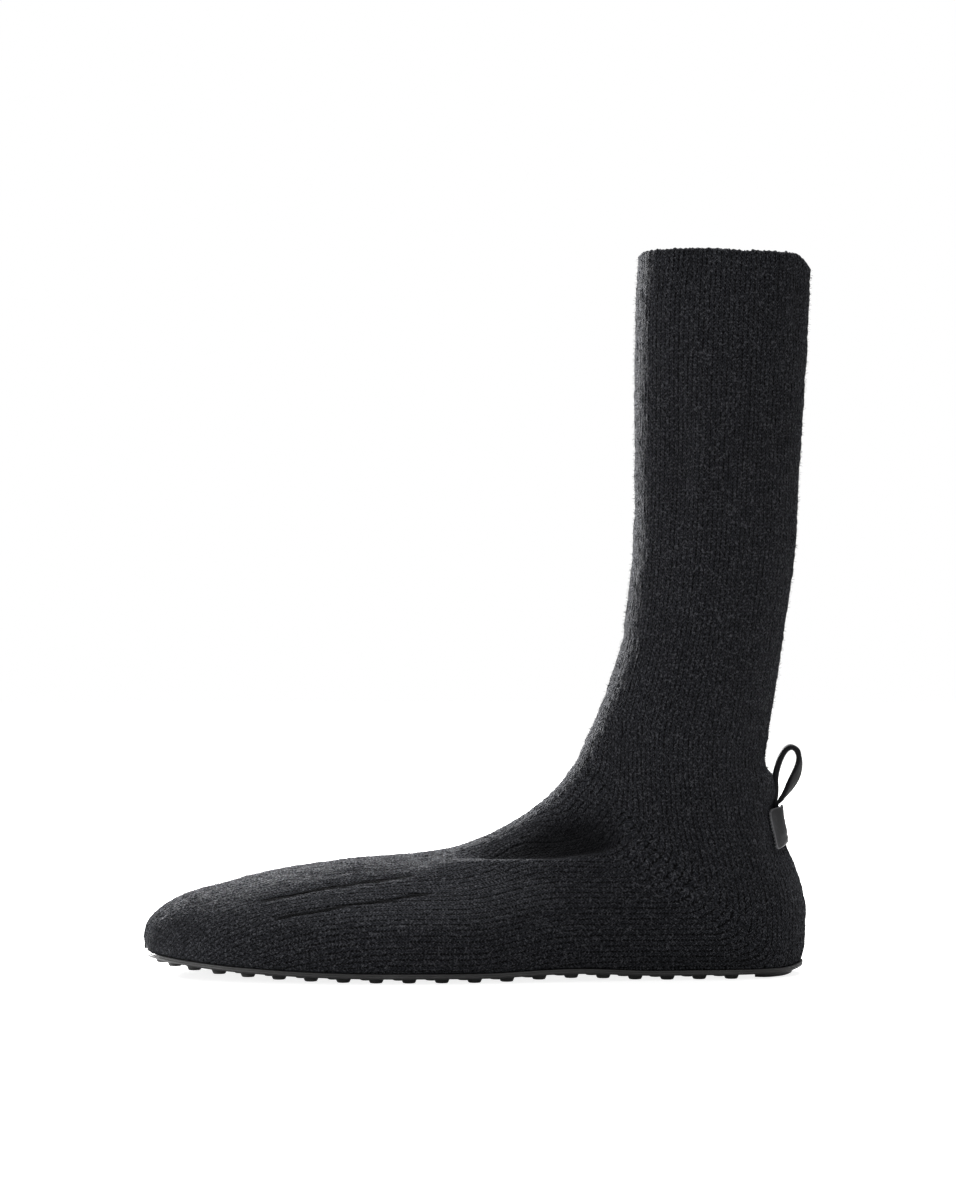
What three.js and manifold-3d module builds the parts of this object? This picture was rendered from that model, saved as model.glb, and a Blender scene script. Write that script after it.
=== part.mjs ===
// A pull-on sock boot: a knitted upper on a thin moulded rubber sole with round studs, an insole inside
// it, and a leather pull loop held on the back of the heel by a sewn leather tab. It is the left shoe of
// a pair. Millimetres, +Z up. The toe points to -X and the outer side of the foot faces -Y.
// The last is laid out from the middle of the heel, and the finished boot is then centred over the
// origin, with the floor at z = 0.
import * as THREE from "three";
import { mergeVertices } from "three/addons/utils/BufferGeometryUtils.js";
import Module from "manifold-3d";

const wasm = await Module();
wasm.setup();

// Driving sizes of the last, which the table of sections below is scaled by.
const LENGTH = 257; // back of the heel to the tip of the toe
const BALL_WIDTH = 92; // across the joints of the toes
const ANKLE_HEIGHT = 100; // floor to the bend at the front of the ankle
const HEEL_BACK = 28.5; // from the middle of the heel to its back

// Sizes of the pieces.
const GAP = 0.3; // left between pieces that touch
const KNIT_WALL = 2.4;
const COLLAR_ROUNDING = 0.9; // how far the middle of the collar's edge stands above its two faces
const STUD_HEIGHT = 1.8;
const PLATE = 2; // thickness of the sole without its studs
const LIP = 0.9; // how far the sole shows beyond the knit
const PLATE_ROUNDING = 0.5;
const ARCH_RISE = 1.2;
const TOE_SPRING = 4.7;
const TOE_SPRING_CURVE = 1.9; // how late the toe begins to rise: 1 would be a straight slope
const HEEL_LIFT = 2;
const INSOLE = { thick: 2.5, ease: 1.5 }; // ease is how much smaller it is than the inside of the knit
// The studs stand in rings that follow the edge of the sole, and root is how far each one reaches into
// the plate.
const STUD = { base: 3.1, foot: 2.1, sides: 7, root: 0.6, pitch: 12.5, start: 0.62, inset: 6.2 };
const RINGS = { count: 4, pitch: 10.9, apart: 9.8 };
const HEEL_PAD = { front: 6, inset: 4.2, depth: 9.5 };
// The tab is measured along the back of the heel from its middle. lift is how far it stands off over the
// strap.
const TAB = { halfWidth: 11.6, halfHeight: 7.6, height: 57.4, thick: 1, lift: 2.95, liftHalfWidth: 4 };
const TAB_NET = { rows: 8, columns: 12 };
// The strap is thinned to its two tails, which lie on each other under the tab. thin is the share of its
// length over which it thickens, and twist is how far its outer leg turns, in radians, between two shares
// of its length.
const STRAP = { width: 6.5, thick: 1.4, tailThick: 0.9, tail: 7, seat: 0.5, between: 0.15 };
const STRAP_THIN = { from: 0.16, to: 0.3 };
const STRAP_TWIST = { turn: 0.1, from: 0.5, to: 0.88 };

// The sections of the last, from the toe to the collar. Each one runs from its front point, on the vamp
// or shin, to its back point, on the underside or the back of the leg.
// ahead: % of LENGTH in front of the back of the heel; up: % of ANKLE_HEIGHT above the floor;
// outer, inner: % of BALL_WIDTH from the middle line to the widest point on each side;
// widest: how far along the section that point lies; crown, base: roundness of the two ends, where 2 is
// an ellipse and more is squarer; middle, ridge: % of BALL_WIDTH that the middle line and the front point
// lie to the inner side; bend: millimetres that the section curves towards the sole at its middle.
const COLUMNS = [
  "name", "frontAhead", "frontUp", "backAhead", "backUp",
  "outer", "inner", "widest", "crown", "base", "middle", "ridge", "bend",
];
const SECTIONS = [
  ["tip", 100, 10.6, 100, 10.6, 0, 0, 0.46, 2.0, 2.2, 7.6, 7.6, 0],
  ["nose", 99.7, 18.9, 99.3, 4, 10.5, 10.5, 0.47, 2.0, 2.3, 7.6, 7.6, 0],
  ["toe cap", 97.6, 24.9, 97.3, -1, 21.2, 21.7, 0.49, 2.1, 2.4, 7, 7.4, 0],
  ["toes", 93.8, 29.8, 93.6, -4, 32, 31.5, 0.52, 2.1, 2.5, 5.4, 7, 0],
  ["toe box", 87.7, 34.4, 87.7, -7, 41.3, 39.7, 0.53, 2.1, 2.6, 3.2, 6.6, 0],
  ["forefoot", 80, 39.1, 80, -8, 47.3, 45.1, 0.56, 2.1, 2.6, 1.3, 6.5, 0],
  ["inner ball", 71, 42.7, 71, -9, 51, 47.8, 0.585, 2.05, 2.6, 0.3, 6, 0],
  ["outer ball", 61.7, 44.8, 61.3, -9, 52.3, 46.8, 0.6, 2.0, 2.6, 0, 5.4, 0],
  ["vamp", 53.5, 48.0, 51.2, -9, 50.5, 43, 0.61, 1.85, 2.6, 0, 4.9, 0],
  ["waist", 47.3, 54.2, 41.4, -9, 45.7, 38.6, 0.64, 1.7, 2.6, 0, 4.3, 0],
  ["instep", 42.2, 62.0, 32.1, -9, 41.3, 35.3, 0.665, 1.65, 2.6, 0, 3.3, 0],
  ["bend", 38.1, 70.2, 22.8, -9, 38, 34.2, 0.68, 1.7, 2.6, 0, 2.2, 0],
  ["gore", 35.4, 79, 13.4, -9, 35.9, 34.2, 0.66, 1.75, 2.5, 0, 1.6, 2],
  ["heel seat", 34.4, 83, 5.6, -7, 35.1, 34.2, 0.63, 1.8, 2.4, 0, 1.2, 5],
  ["heel curve", 33.9, 86, 1, 4, 34.6, 34, 0.6, 1.85, 2.2, 0, 1, 8],
  ["heel back", 33.4, 88.7, 0, 20, 33.9, 33.7, 0.57, 1.9, 2.1, 0, 0.8, 11],
  ["counter", 33, 91.5, 0.5, 34, 33.3, 33.2, 0.56, 1.95, 2, 0, 0.6, 12],
  ["counter top", 32.5, 94.2, 2.8, 49, 32.6, 32.6, 0.55, 2, 2, 0, 0.5, 10],
  ["tab", 32, 97, 4.9, 61, 31.8, 31.8, 0.54, 2, 2, 0, 0.4, 7],
  ["loop", 31.5, 100, 5.6, 72, 31.3, 31.3, 0.53, 2, 2, 0, 0.3, 4],
  ["neck", 30.9, 104, 6.2, 84, 30.7, 30.7, 0.52, 2, 2, 0, 0.2, 2],
  ["ankle", 30, 110.5, 5.6, 95, 30.2, 30.2, 0.51, 2, 2, 0, 0, 0],
  ["over ankle", 28.5, 122.5, 4.5, 114, 29.6, 29.6, 0.5, 2, 2, 0, 0, 0],
  ["low shaft", 27, 141, 3.1, 138.5, 28.8, 28.8, 0.5, 2.05, 2.05, 0, 0, 0],
  ["calf", 26.05, 166, 1.7, 165.5, 28.3, 28.3, 0.5, 2.1, 2.1, 0, 0, 0],
  ["mid shaft", 25.8, 195, 1, 195, 28, 28, 0.5, 2.1, 2.1, 0, 0, 0],
  ["high shaft", 25.8, 226, 0.2, 226, 28.3, 28.3, 0.5, 2.1, 2.1, 0, 0, 0],
  ["under collar", 25.7, 256, -0.5, 256, 28.8, 28.8, 0.5, 2.1, 2.1, 0, 0, 0],
  ["collar", 25.2, 278.4, -0.9, 278.4, 28.8, 28.8, 0.5, 2.1, 2.1, 0, 0, 0],
].map((row) => Object.fromEntries(COLUMNS.map((name, i) => [name, row[i]])));
const LAST_SECTION = SECTIONS.length - 1;

const ROWS_PER_SECTION = 2;
const COLUMNS_PER_SIDE = 12;
const RING_STEPS = 240; // samples of a section when its points are spread evenly
const STRAP_STEPS = 40;
const BISECTIONS = 40;
const SURFACE_STEP = 0.2; // for the direction square to the knit

// The value of one column at a place between two sections, on a smooth curve through the rows. Before the
// tip the curve is mirrored, so that the toe ends round.
function column(name, t) {
  const k = Math.min(Math.floor(t), LAST_SECTION - 1);
  const u = t - k;
  const mirrored = name === "frontAhead" || name === "backAhead" ? 1 : -1;
  const at = (i) => {
    if (i < 0) return SECTIONS[0][name] + mirrored * (SECTIONS[1][name] - SECTIONS[0][name]);
    if (i > LAST_SECTION) return 2 * SECTIONS[LAST_SECTION][name] - SECTIONS[LAST_SECTION - 1][name];
    return SECTIONS[i][name];
  };
  const [a, b, c, d] = [at(k - 1), at(k), at(k + 1), at(k + 2)];
  return b + 0.5 * u * (c - a + u * (2 * a - 5 * b + 4 * c - d + u * (3 * (b - c) + d - a)));
}

const aheadToX = (percent) => HEEL_BACK - (percent / 100) * LENGTH;
const upToZ = (percent) => (percent / 100) * ANKLE_HEIGHT;
const widthToY = (percent) => (percent / 100) * BALL_WIDTH;

function section(t) {
  const value = (name) => column(name, t);
  return {
    front: new THREE.Vector2(aheadToX(value("frontAhead")), upToZ(value("frontUp"))),
    back: new THREE.Vector2(aheadToX(value("backAhead")), upToZ(value("backUp"))),
    outer: widthToY(value("outer")),
    inner: widthToY(value("inner")),
    widest: value("widest"),
    crown: value("crown"),
    base: value("base"),
    middle: widthToY(value("middle")),
    ridge: widthToY(value("ridge")),
    bend: value("bend"),
  };
}

// A point on the outside of the upper. turn runs from 0 at the section's front, round one side, to 1 at
// its back; side is -1 on the outer side of the foot and 1 on the inner side.
function pointOn(s, turn, side) {
  const angle = Math.PI * turn;
  const power = 2 / (turn < 0.5 ? s.crown : s.base);
  const reach = Math.abs(Math.cos(angle)) ** power;
  const along = turn < 0.5 ? s.widest * (1 - reach) : s.widest + (1 - s.widest) * reach;
  const wide = Math.max(Math.sin(angle), 0) ** power;
  const lean = Math.max(1 - along / s.widest, 0) ** 2;
  const chord = s.back.clone().sub(s.front);
  const bend = (4 * s.bend * along * (1 - along)) / Math.max(chord.length(), 1);
  return new THREE.Vector3(
    s.front.x + chord.x * along + chord.y * bend,
    s.middle + (s.ridge - s.middle) * lean + side * wide * (side < 0 ? s.outer : s.inner),
    s.front.y + chord.y * along - chord.x * bend,
  );
}

// Underside of the sole's plate: flat at the heel and the ball, raised at the arch, and lifted at the toe
// and heel.
const FLAT_HEEL_FRONT = -28;
const FLAT_BALL = [-98, -134];
const HEEL_LIFT_START = 17;
function plateUnder(x) {
  const [ballBack, ballFront] = FLAT_BALL;
  const tip = aheadToX(100);
  if (x > HEEL_LIFT_START) {
    return STUD_HEIGHT + HEEL_LIFT * ((x - HEEL_LIFT_START) / (HEEL_BACK - HEEL_LIFT_START)) ** 2;
  }
  if (x < ballFront) {
    return STUD_HEIGHT + TOE_SPRING * ((ballFront - x) / (ballFront - tip)) ** TOE_SPRING_CURVE;
  }
  if (x > ballBack && x < FLAT_HEEL_FRONT) {
    const share = (FLAT_HEEL_FRONT - x) / (FLAT_HEEL_FRONT - ballBack);
    return STUD_HEIGHT + ARCH_RISE * Math.sin(Math.PI * share) ** 2;
  }
  return STUD_HEIGHT;
}
const plateTop = (x) => plateUnder(x) + PLATE;
const featherHeight = (x) => plateTop(x) + GAP; // where the knit ends, just above the sole

// The place between low and high where f changes sign from positive to negative.
function crossing(f, low, high) {
  for (let i = 0; i < BISECTIONS; i++) {
    const mid = (low + high) / 2;
    if (f(mid) > 0) low = mid;
    else high = mid;
  }
  return (low + high) / 2;
}

// How far round its side the knit of a section reaches: all the way in the leg, and down to the sole in
// the foot.
function reachOf(s, side) {
  const above = (turn) => {
    const p = pointOn(s, turn, side);
    return p.z - featherHeight(p.x);
  };
  return above(1) > 0 ? 1 : crossing(above, 0.3, 1);
}

const HEEL_ROWS = [12, 16]; // the sections between which the knit closes behind the heel
const heelClosing = crossing(
  (t) => {
    const s = section(t);
    return featherHeight(s.back.x) - s.back.y;
  },
  ...HEEL_ROWS,
);

// The rows of the upper's net: even steps between the sections, but closer together round the back of the
// heel, where the knit closes.
const HEEL_START = 13;
const HEEL_STEPS = 6;
const SHAFT_START = 22; // from here up the leg is nearly straight, and one row a section is enough
const evenRows = (from, to, perSection) =>
  Array.from({ length: (to - from) * perSection + 1 }, (_, i) => from + i / perSection);
const heelRow = (k) => heelClosing - (heelClosing - HEEL_START) * (1 - k / HEEL_STEPS) ** 2;
const ROWS = [
  ...evenRows(0, HEEL_START, ROWS_PER_SECTION),
  ...Array.from({ length: HEEL_STEPS }, (_, k) => heelRow(k + 1)),
  ...evenRows(Math.ceil(heelClosing), SHAFT_START, ROWS_PER_SECTION),
  ...evenRows(SHAFT_START + 1, LAST_SECTION, 1),
];

// Points evenly spread over one side of a section, from its front to where the knit ends.
function spreadSide(s, side, reach) {
  const turnAt = (i) => (reach * i) / RING_STEPS;
  const samples = Array.from({ length: RING_STEPS + 1 }, (_, i) => pointOn(s, turnAt(i), side));
  const lengths = [0];
  for (let i = 1; i <= RING_STEPS; i++) {
    lengths.push(lengths[i - 1] + samples[i].distanceTo(samples[i - 1]));
  }
  const total = lengths[RING_STEPS];
  return Array.from({ length: COLUMNS_PER_SIDE + 1 }, (_, c) => {
    const wanted = (total * c) / COLUMNS_PER_SIDE;
    let i = 1;
    while (i < RING_STEPS && lengths[i] < wanted) i++;
    const span = lengths[i] - lengths[i - 1] || 1;
    const share = THREE.MathUtils.clamp((wanted - lengths[i - 1]) / span, 0, 1);
    return samples[i - 1].clone().lerp(samples[i], share);
  });
}

// One row of the outside, from the outer side's edge over the front to the inner side's edge.
function outsideRow(t) {
  const s = section(t);
  const closed = t >= heelClosing;
  const outer = spreadSide(s, -1, closed ? 1 : reachOf(s, -1));
  const inner = spreadSide(s, 1, closed ? 1 : reachOf(s, 1));
  if (t === 0) outer.concat(inner).forEach((p) => p.setZ(featherHeight(p.x)));
  return [...outer.reverse(), ...inner.slice(1)];
}

// The inside of the knit: every point of the net moved inwards by the wall, square to the surface round it.
function insideRows(outside) {
  const last = 2 * COLUMNS_PER_SIDE;
  return outside.map((row, j) =>
    row.map((p, i) => {
      if (j === 0) return p.clone().setX(p.x + KNIT_WALL).setZ(featherHeight(p.x + KNIT_WALL));
      const closed = ROWS[j] >= heelClosing;
      const left = i > 0 ? row[i - 1] : closed ? row[last - 1] : row[0];
      const right = i < last ? row[i + 1] : closed ? row[1] : row[last];
      const seam = closed && (i === 0 || i === last);
      const below = seam ? outside[j - 1][0].clone().lerp(outside[j - 1][last], 0.5) : outside[j - 1][i];
      const above = outside[Math.min(j + 1, outside.length - 1)][i];
      const normal = above.clone().sub(below).cross(right.clone().sub(left)).normalize();
      const moved = p.clone().addScaledVector(normal, -KNIT_WALL);
      if (j === outside.length - 1) moved.setZ(p.z);
      if (ROWS[j] <= heelClosing && (i === 0 || i === last)) moved.setZ(featherHeight(moved.x));
      return moved;
    }),
  );
}

// A closed mesh from quads given as four points each, wound the same way round. Points that coincide are
// merged and faces that fold up at a pole are dropped. If the faces come out pointing inwards they are
// turned round.
function meshFromQuads(quads) {
  const corners = quads.flatMap(([a, b, c, d]) => [a, b, c, a, c, d]);
  const positions = new Float32Array(corners.flatMap((p) => [p.x, p.y, p.z]));
  const soup = new THREE.BufferGeometry().setAttribute("position", new THREE.BufferAttribute(positions, 3));
  const merged = mergeVertices(soup, 1e-3);
  const index = [...merged.index.array];
  const kept = [];
  for (let i = 0; i < index.length; i += 3) {
    const [a, b, c] = index.slice(i, i + 3);
    if (a !== b && b !== c && a !== c) kept.push(a, b, c);
  }
  merged.setIndex(kept);
  if (volumeOf(merged) < 0) merged.setIndex(kept.reverse());
  return merged;
}

function volumeOf(geometry) {
  const position = geometry.getAttribute("position");
  const [a, b, c] = [new THREE.Vector3(), new THREE.Vector3(), new THREE.Vector3()];
  let six = 0;
  for (let i = 0; i < geometry.index.count; i += 3) {
    a.fromBufferAttribute(position, geometry.index.getX(i));
    b.fromBufferAttribute(position, geometry.index.getX(i + 1));
    c.fromBufferAttribute(position, geometry.index.getX(i + 2));
    six += a.dot(b.cross(c));
  }
  return six / 6;
}

function solidOf(geometry) {
  return new wasm.Manifold(
    new wasm.Mesh({
      numProp: 3,
      vertProperties: new Float32Array(geometry.getAttribute("position").array),
      triVerts: new Uint32Array(geometry.index.array),
    }),
  );
}

function geometryOf(solid) {
  const mesh = solid.getMesh();
  return new THREE.BufferGeometry()
    .setAttribute("position", new THREE.BufferAttribute(mesh.vertProperties, 3))
    .setIndex(new THREE.BufferAttribute(mesh.triVerts, 1));
}

// A three.js shape or extrusion as a solid, with its shared vertices merged.
function solidFromGeometry(geometry) {
  geometry.deleteAttribute("normal");
  geometry.deleteAttribute("uv");
  return solidOf(mergeVertices(geometry, 1e-3));
}

// Quads between two neighbouring rows of points. A closed row joins its last point to its first.
function strip(low, high, closed = false) {
  const quads = [];
  for (let i = 0; i + 1 < low.length; i++) quads.push([low[i], low[i + 1], high[i + 1], high[i]]);
  if (closed) quads.push([low.at(-1), low[0], high[0], high.at(-1)]);
  return quads;
}

const outside = ROWS.map(outsideRow);
const inside = insideRows(outside);

// The upper: the knit's outside and inside, joined round the sole and over the collar.
function upperGeometry() {
  const quads = [];
  for (let j = 0; j + 1 < ROWS.length; j++) {
    quads.push(...strip(outside[j], outside[j + 1]), ...strip(inside[j + 1], inside[j]));
    if (ROWS[j] < heelClosing) {
      quads.push([outside[j].at(-1), inside[j].at(-1), inside[j + 1].at(-1), outside[j + 1].at(-1)]);
      quads.push([inside[j][0], outside[j][0], outside[j + 1][0], inside[j + 1][0]]);
    }
  }
  const crest = outside.at(-1).map((p, i) => {
    const middle = p.clone().lerp(inside.at(-1)[i], 0.5);
    return middle.setZ(middle.z + COLLAR_ROUNDING);
  });
  quads.push(...strip(outside.at(-1), crest), ...strip(crest, inside.at(-1)));
  return meshFromQuads(quads);
}

// Moves a closed flat outline outwards by an offset, or inwards where that is negative.
function movedOut(loop, offset) {
  return loop.map((p, i) => {
    const along = loop[(i + 1) % loop.length].clone().sub(loop.at(i - 1)).normalize();
    return new THREE.Vector2(p.x + along.y * offset, p.y - along.x * offset);
  });
}

// The outline round the foot at the end of the knit, as a pair of points for each row, moved outwards by
// an offset.
function outlinePairs(rows, offset) {
  const foot = rows.filter((_, j) => ROWS[j] <= heelClosing);
  const flat = (p) => new THREE.Vector2(p.x, p.y);
  const edges = foot.map((row) => ({ outer: flat(row[0]), inner: flat(row.at(-1)) }));
  const loop = movedOut(loopOf(edges), offset);
  const heel = foot.length - 1;
  const opposite = (j) => (j === 0 || j === heel ? j : loop.length - j);
  return foot.map((_, j) => ({ outer: loop[j], inner: loop[opposite(j)] }));
}

// The pairs as one closed outline: back along the outer side and forward again along the inner side.
function loopOf(pairs) {
  return [...pairs.map((pair) => pair.outer), ...pairs.slice(1, -1).reverse().map((pair) => pair.inner)];
}

// A slab between two heights over an outline, with its edges rounded off.
function slabGeometry(pairs, under, over, rounding) {
  const ring = ({ outer, inner }) => {
    const width = outer.distanceTo(inner);
    const corner = (from, to, inset, height) => {
      const p = from.clone().lerp(to, width > 0 ? Math.min(inset / width, 0.4) : 0);
      return new THREE.Vector3(p.x, p.y, height(p.x));
    };
    const low = (x) => under(x) + rounding;
    const high = (x) => over(x) - rounding;
    return [
      corner(outer, inner, rounding, under),
      corner(outer, inner, 0, low),
      corner(outer, inner, 0, high),
      corner(outer, inner, rounding, over),
      corner(inner, outer, rounding, over),
      corner(inner, outer, 0, high),
      corner(inner, outer, 0, low),
      corner(inner, outer, rounding, under),
    ];
  };
  const rings = pairs.map(ring);
  return meshFromQuads(rings.slice(1).flatMap((next, i) => strip(rings[i], next, true)));
}

// A stud: a short cone that starts a little inside the plate and ends flat.
function studSolid({ x, y }) {
  const height = STUD_HEIGHT + STUD.root;
  const cone = new THREE.CylinderGeometry(STUD.base, STUD.foot, height, STUD.sides);
  cone.rotateX(Math.PI / 2);
  cone.translate(x, y, plateUnder(x) - STUD_HEIGHT + height / 2);
  return solidFromGeometry(cone);
}

const solePairs = outlinePairs(outside, LIP);
const soleLoop = loopOf(solePairs);
const soleTurn = solePairs.length - 1; // where the outline turns round behind the heel

// Evenly spaced places along an open line of points.
function placesAlong(points, start) {
  const path = new THREE.CatmullRomCurve3(points.map((p) => new THREE.Vector3(p.x, p.y, 0)));
  const length = path.getLength();
  const count = Math.floor(length / STUD.pitch);
  return Array.from({ length: count }, (_, i) => path.getPointAt(((i + start) * STUD.pitch) / length));
}

// The studs, ring after ring from the edge inwards, wherever a ring still has room.
function studPlaces() {
  const edge = new THREE.CatmullRomCurve3(soleLoop.map((p) => new THREE.Vector3(p.x, p.y, 0)), true);
  const edgePoints = edge.getSpacedPoints(RING_STEPS);
  const places = [];
  for (let ring = 0; ring < RINGS.count; ring++) {
    const inset = STUD.inset + ring * RINGS.pitch;
    const loop = movedOut(soleLoop, -inset);
    const outer = loop.slice(0, soleTurn + 1);
    const inner = [...loop.slice(soleTurn), loop[0]].reverse();
    const start = STUD.start + ring / 2;
    for (const p of [...placesAlong(outer, start % 1), ...placesAlong(inner, start % 1)]) {
      const onRing = edgePoints.every((q) => q.distanceTo(p) > inset - STUD.root);
      const overPad = ring === 0 && p.x > HEEL_PAD.front - STUD.pitch / 2;
      if (onRing && !overPad && places.every((q) => q.distanceTo(p) > RINGS.apart)) places.push(p);
    }
  }
  return places;
}

// The pad behind the heel: a crescent as high as the studs, pointed at both ends.
function heelPadSolid() {
  const near = movedOut(soleLoop, -HEEL_PAD.inset);
  const far = movedOut(soleLoop, -HEEL_PAD.inset - HEEL_PAD.depth);
  const behind = (pair) => pair.outer.x > HEEL_PAD.front;
  const crescent = near.map((p, i) => ({ outer: p, inner: far[i] })).filter(behind);
  const point = ({ outer, inner }) => {
    const middle = outer.clone().lerp(inner, 0.5);
    return { outer: middle, inner: middle };
  };
  const pairs = [point(crescent[0]), ...crescent.slice(1, -1), point(crescent.at(-1))];
  const under = (x) => plateUnder(x) - STUD_HEIGHT;
  return solidOf(slabGeometry(pairs, under, (x) => plateUnder(x) + STUD.root, STUD.root / 2));
}

// The sole: its plate with the studs and the heel pad moulded on.
function outsoleGeometry() {
  const plate = solidOf(slabGeometry(solePairs, plateUnder, plateTop, PLATE_ROUNDING));
  const withPad = plate.add(heelPadSolid());
  return geometryOf(studPlaces().map(studSolid).reduce((sole, stud) => sole.add(stud), withPad));
}

const insolePairs = outlinePairs(inside, -INSOLE.ease);
const insoleUnder = (x) => plateTop(x) + GAP;
const insoleGeometry = () =>
  slabGeometry(insolePairs, insoleUnder, (x) => insoleUnder(x) + INSOLE.thick, PLATE_ROUNDING);

// The line down the back of the heel, which the tab and the strap are laid out along.
const TAB_ROWS = [14, 21]; // the sections that the tab lies between
function backAt(t) {
  const s = section(t);
  return new THREE.Vector3(s.back.x, s.middle, s.back.y);
}
const tabMiddle = backAt(crossing((t) => TAB.height - backAt(t).z, ...TAB_ROWS));
const tabUp = backAt(crossing((t) => TAB.height + TAB.halfHeight - backAt(t).z, ...TAB_ROWS))
  .sub(backAt(crossing((t) => TAB.height - TAB.halfHeight - backAt(t).z, ...TAB_ROWS)))
  .normalize();
const tabOut = new THREE.Vector3(tabUp.z, 0, -tabUp.x);

// A point on the knit behind the heel: up along its back from the middle of the tab, and across to one
// side.
function onHeel(up, across) {
  const at = (t) => {
    const s = section(t);
    const share = Math.min(Math.abs(across) / (across < 0 ? s.outer : s.inner), 1);
    return pointOn(s, 1 - Math.asin(share ** (s.base / 2)) / Math.PI, Math.sign(across) || 1);
  };
  return at(crossing((t) => up - at(t).sub(tabMiddle).dot(tabUp), ...TAB_ROWS));
}

// How far the tab stands off the knit, to clear the two ends of the strap.
function tabLift(up, across) {
  const high = THREE.MathUtils.smoothstep(up, -TAB.halfHeight, TAB.halfHeight - STRAP.tail);
  const wide = 1 - THREE.MathUtils.smoothstep(Math.abs(across), TAB.liftHalfWidth, TAB.halfWidth);
  return TAB.lift * high * wide;
}

// The tab: a sheet of leather that follows the knit.
function tabGeometry() {
  const at = (up, across, off) => {
    const side = onHeel(up, across + SURFACE_STEP).sub(onHeel(up, across - SURFACE_STEP));
    const rise = onHeel(up + SURFACE_STEP, across).sub(onHeel(up - SURFACE_STEP, across));
    return onHeel(up, across).addScaledVector(side.cross(rise).normalize(), off);
  };
  const across = (i) => TAB.halfWidth * (2 * (i / TAB_NET.columns) - 1);
  const up = (j) => TAB.halfHeight * (2 * (j / TAB_NET.rows) - 1);
  const face = (extra) =>
    Array.from({ length: TAB_NET.rows + 1 }, (_, j) =>
      Array.from({ length: TAB_NET.columns + 1 }, (_, i) =>
        at(up(j), across(i), GAP + tabLift(up(j), across(i)) + extra)));
  return sheetGeometry(face(0), face(TAB.thick));
}

// A closed sheet between two nets of points of the same size.
function sheetGeometry(under, over) {
  const quads = [];
  const ring = (net) => [
    ...net[0],
    ...net.slice(1).map((row) => row.at(-1)),
    ...net.at(-1).slice(0, -1).reverse(),
    ...net.slice(1, -1).reverse().map((row) => row[0]),
  ];
  for (let j = 0; j + 1 < under.length; j++) {
    quads.push(...strip(over[j], over[j + 1]), ...strip(under[j + 1], under[j]));
  }
  quads.push(...strip(ring(under), ring(over), true));
  return meshFromQuads(quads);
}

// The loop's middle line, in the plane of the boot: up behind the heel, over, and down again outside.
// back, up: millimetres behind the middle of the heel and above the floor.
const LOOP_COLUMNS = ["back", "up"];
const LOOP = [
  [17.1, 70.5], [17.5, 77.4], [19.2, 83.2], [22, 87.4], [24.3, 88.2],
  [26.4, 86], [27.2, 82], [26.1, 77.2], [23.5, 72.6], [21.2, 69.2],
].map((row) => Object.fromEntries(LOOP_COLUMNS.map((name, i) => [name, row[i]])));

// The pull loop: one flat strap, thinned at its two ends, which lie on each other under the tab.
function strapGeometry() {
  const layerOff = (layer) => STRAP.seat + layer * (STRAP.tailThick + STRAP.between) + STRAP.tailThick / 2;
  const tailAt = (up, layer) => onHeel(up, 0).addScaledVector(tabOut, layerOff(layer));
  const top = TAB.halfHeight;
  const tail = [top - STRAP.tail, top - STRAP.tail / 2, top];
  const loop = LOOP.map(({ back, up }) => new THREE.Vector3(back, tabMiddle.y, up));
  const points = [
    ...tail.map((up) => tailAt(up, 0)), ...loop, ...tail.toReversed().map((up) => tailAt(up, 1)),
  ];
  const path = new THREE.CatmullRomCurve3(points, false, "centripetal");
  const rings = Array.from({ length: STRAP_STEPS + 1 }, (_, i) => {
    const share = i / STRAP_STEPS;
    const p = path.getPoint(share);
    const along = path.getTangent(share);
    const full = THREE.MathUtils.smoothstep(Math.min(share, 1 - share), STRAP_THIN.from, STRAP_THIN.to);
    const half = THREE.MathUtils.lerp(STRAP.tailThick, STRAP.thick, full) / 2;
    const leg = THREE.MathUtils.smoothstep(share, STRAP_TWIST.from, STRAP_TWIST.to);
    const turned = STRAP_TWIST.turn * Math.sin(Math.PI * leg);
    const across = new THREE.Vector3(0, 1, 0).applyAxisAngle(along, turned);
    const outwards = across.clone().cross(along);
    return [[-1, -1], [1, -1], [1, 1], [-1, 1]].map(([u, v]) =>
      p.clone().addScaledVector(across, (u * STRAP.width) / 2).addScaledVector(outwards, v * half));
  });
  const quads = rings.slice(1).flatMap((next, i) => strip(rings[i], next, true));
  quads.push([...rings[0]].reverse(), rings.at(-1));
  return meshFromQuads(quads);
}

const knit = new THREE.MeshStandardMaterial({ color: 0x1c1d20, roughness: 0.95, metalness: 0 });
const rubber = new THREE.MeshStandardMaterial({ color: 0x17171a, roughness: 0.6, metalness: 0 });
const lining = new THREE.MeshStandardMaterial({ color: 0x2a2a2c, roughness: 0.9, metalness: 0 });
const leather = new THREE.MeshStandardMaterial({ color: 0x18181b, roughness: 0.35, metalness: 0 });

function piece(name, geometry, material) {
  const mesh = new THREE.Mesh(geometry, material);
  mesh.name = name;
  return mesh;
}

const last = new THREE.Group();
last.add(
  piece("upper", upperGeometry(), knit),
  piece("outsole", outsoleGeometry(), rubber),
  piece("insole", insoleGeometry(), lining),
  piece("heel_tab", tabGeometry(), leather),
  piece("pull_loop", strapGeometry(), leather),
);
const box = new THREE.Box3().setFromObject(last);
const middle = box.getCenter(new THREE.Vector3());
last.position.set(-middle.x, -middle.y, -box.min.z);

const boot = new THREE.Group();
boot.add(last);
export default boot;
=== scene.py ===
import math

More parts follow.
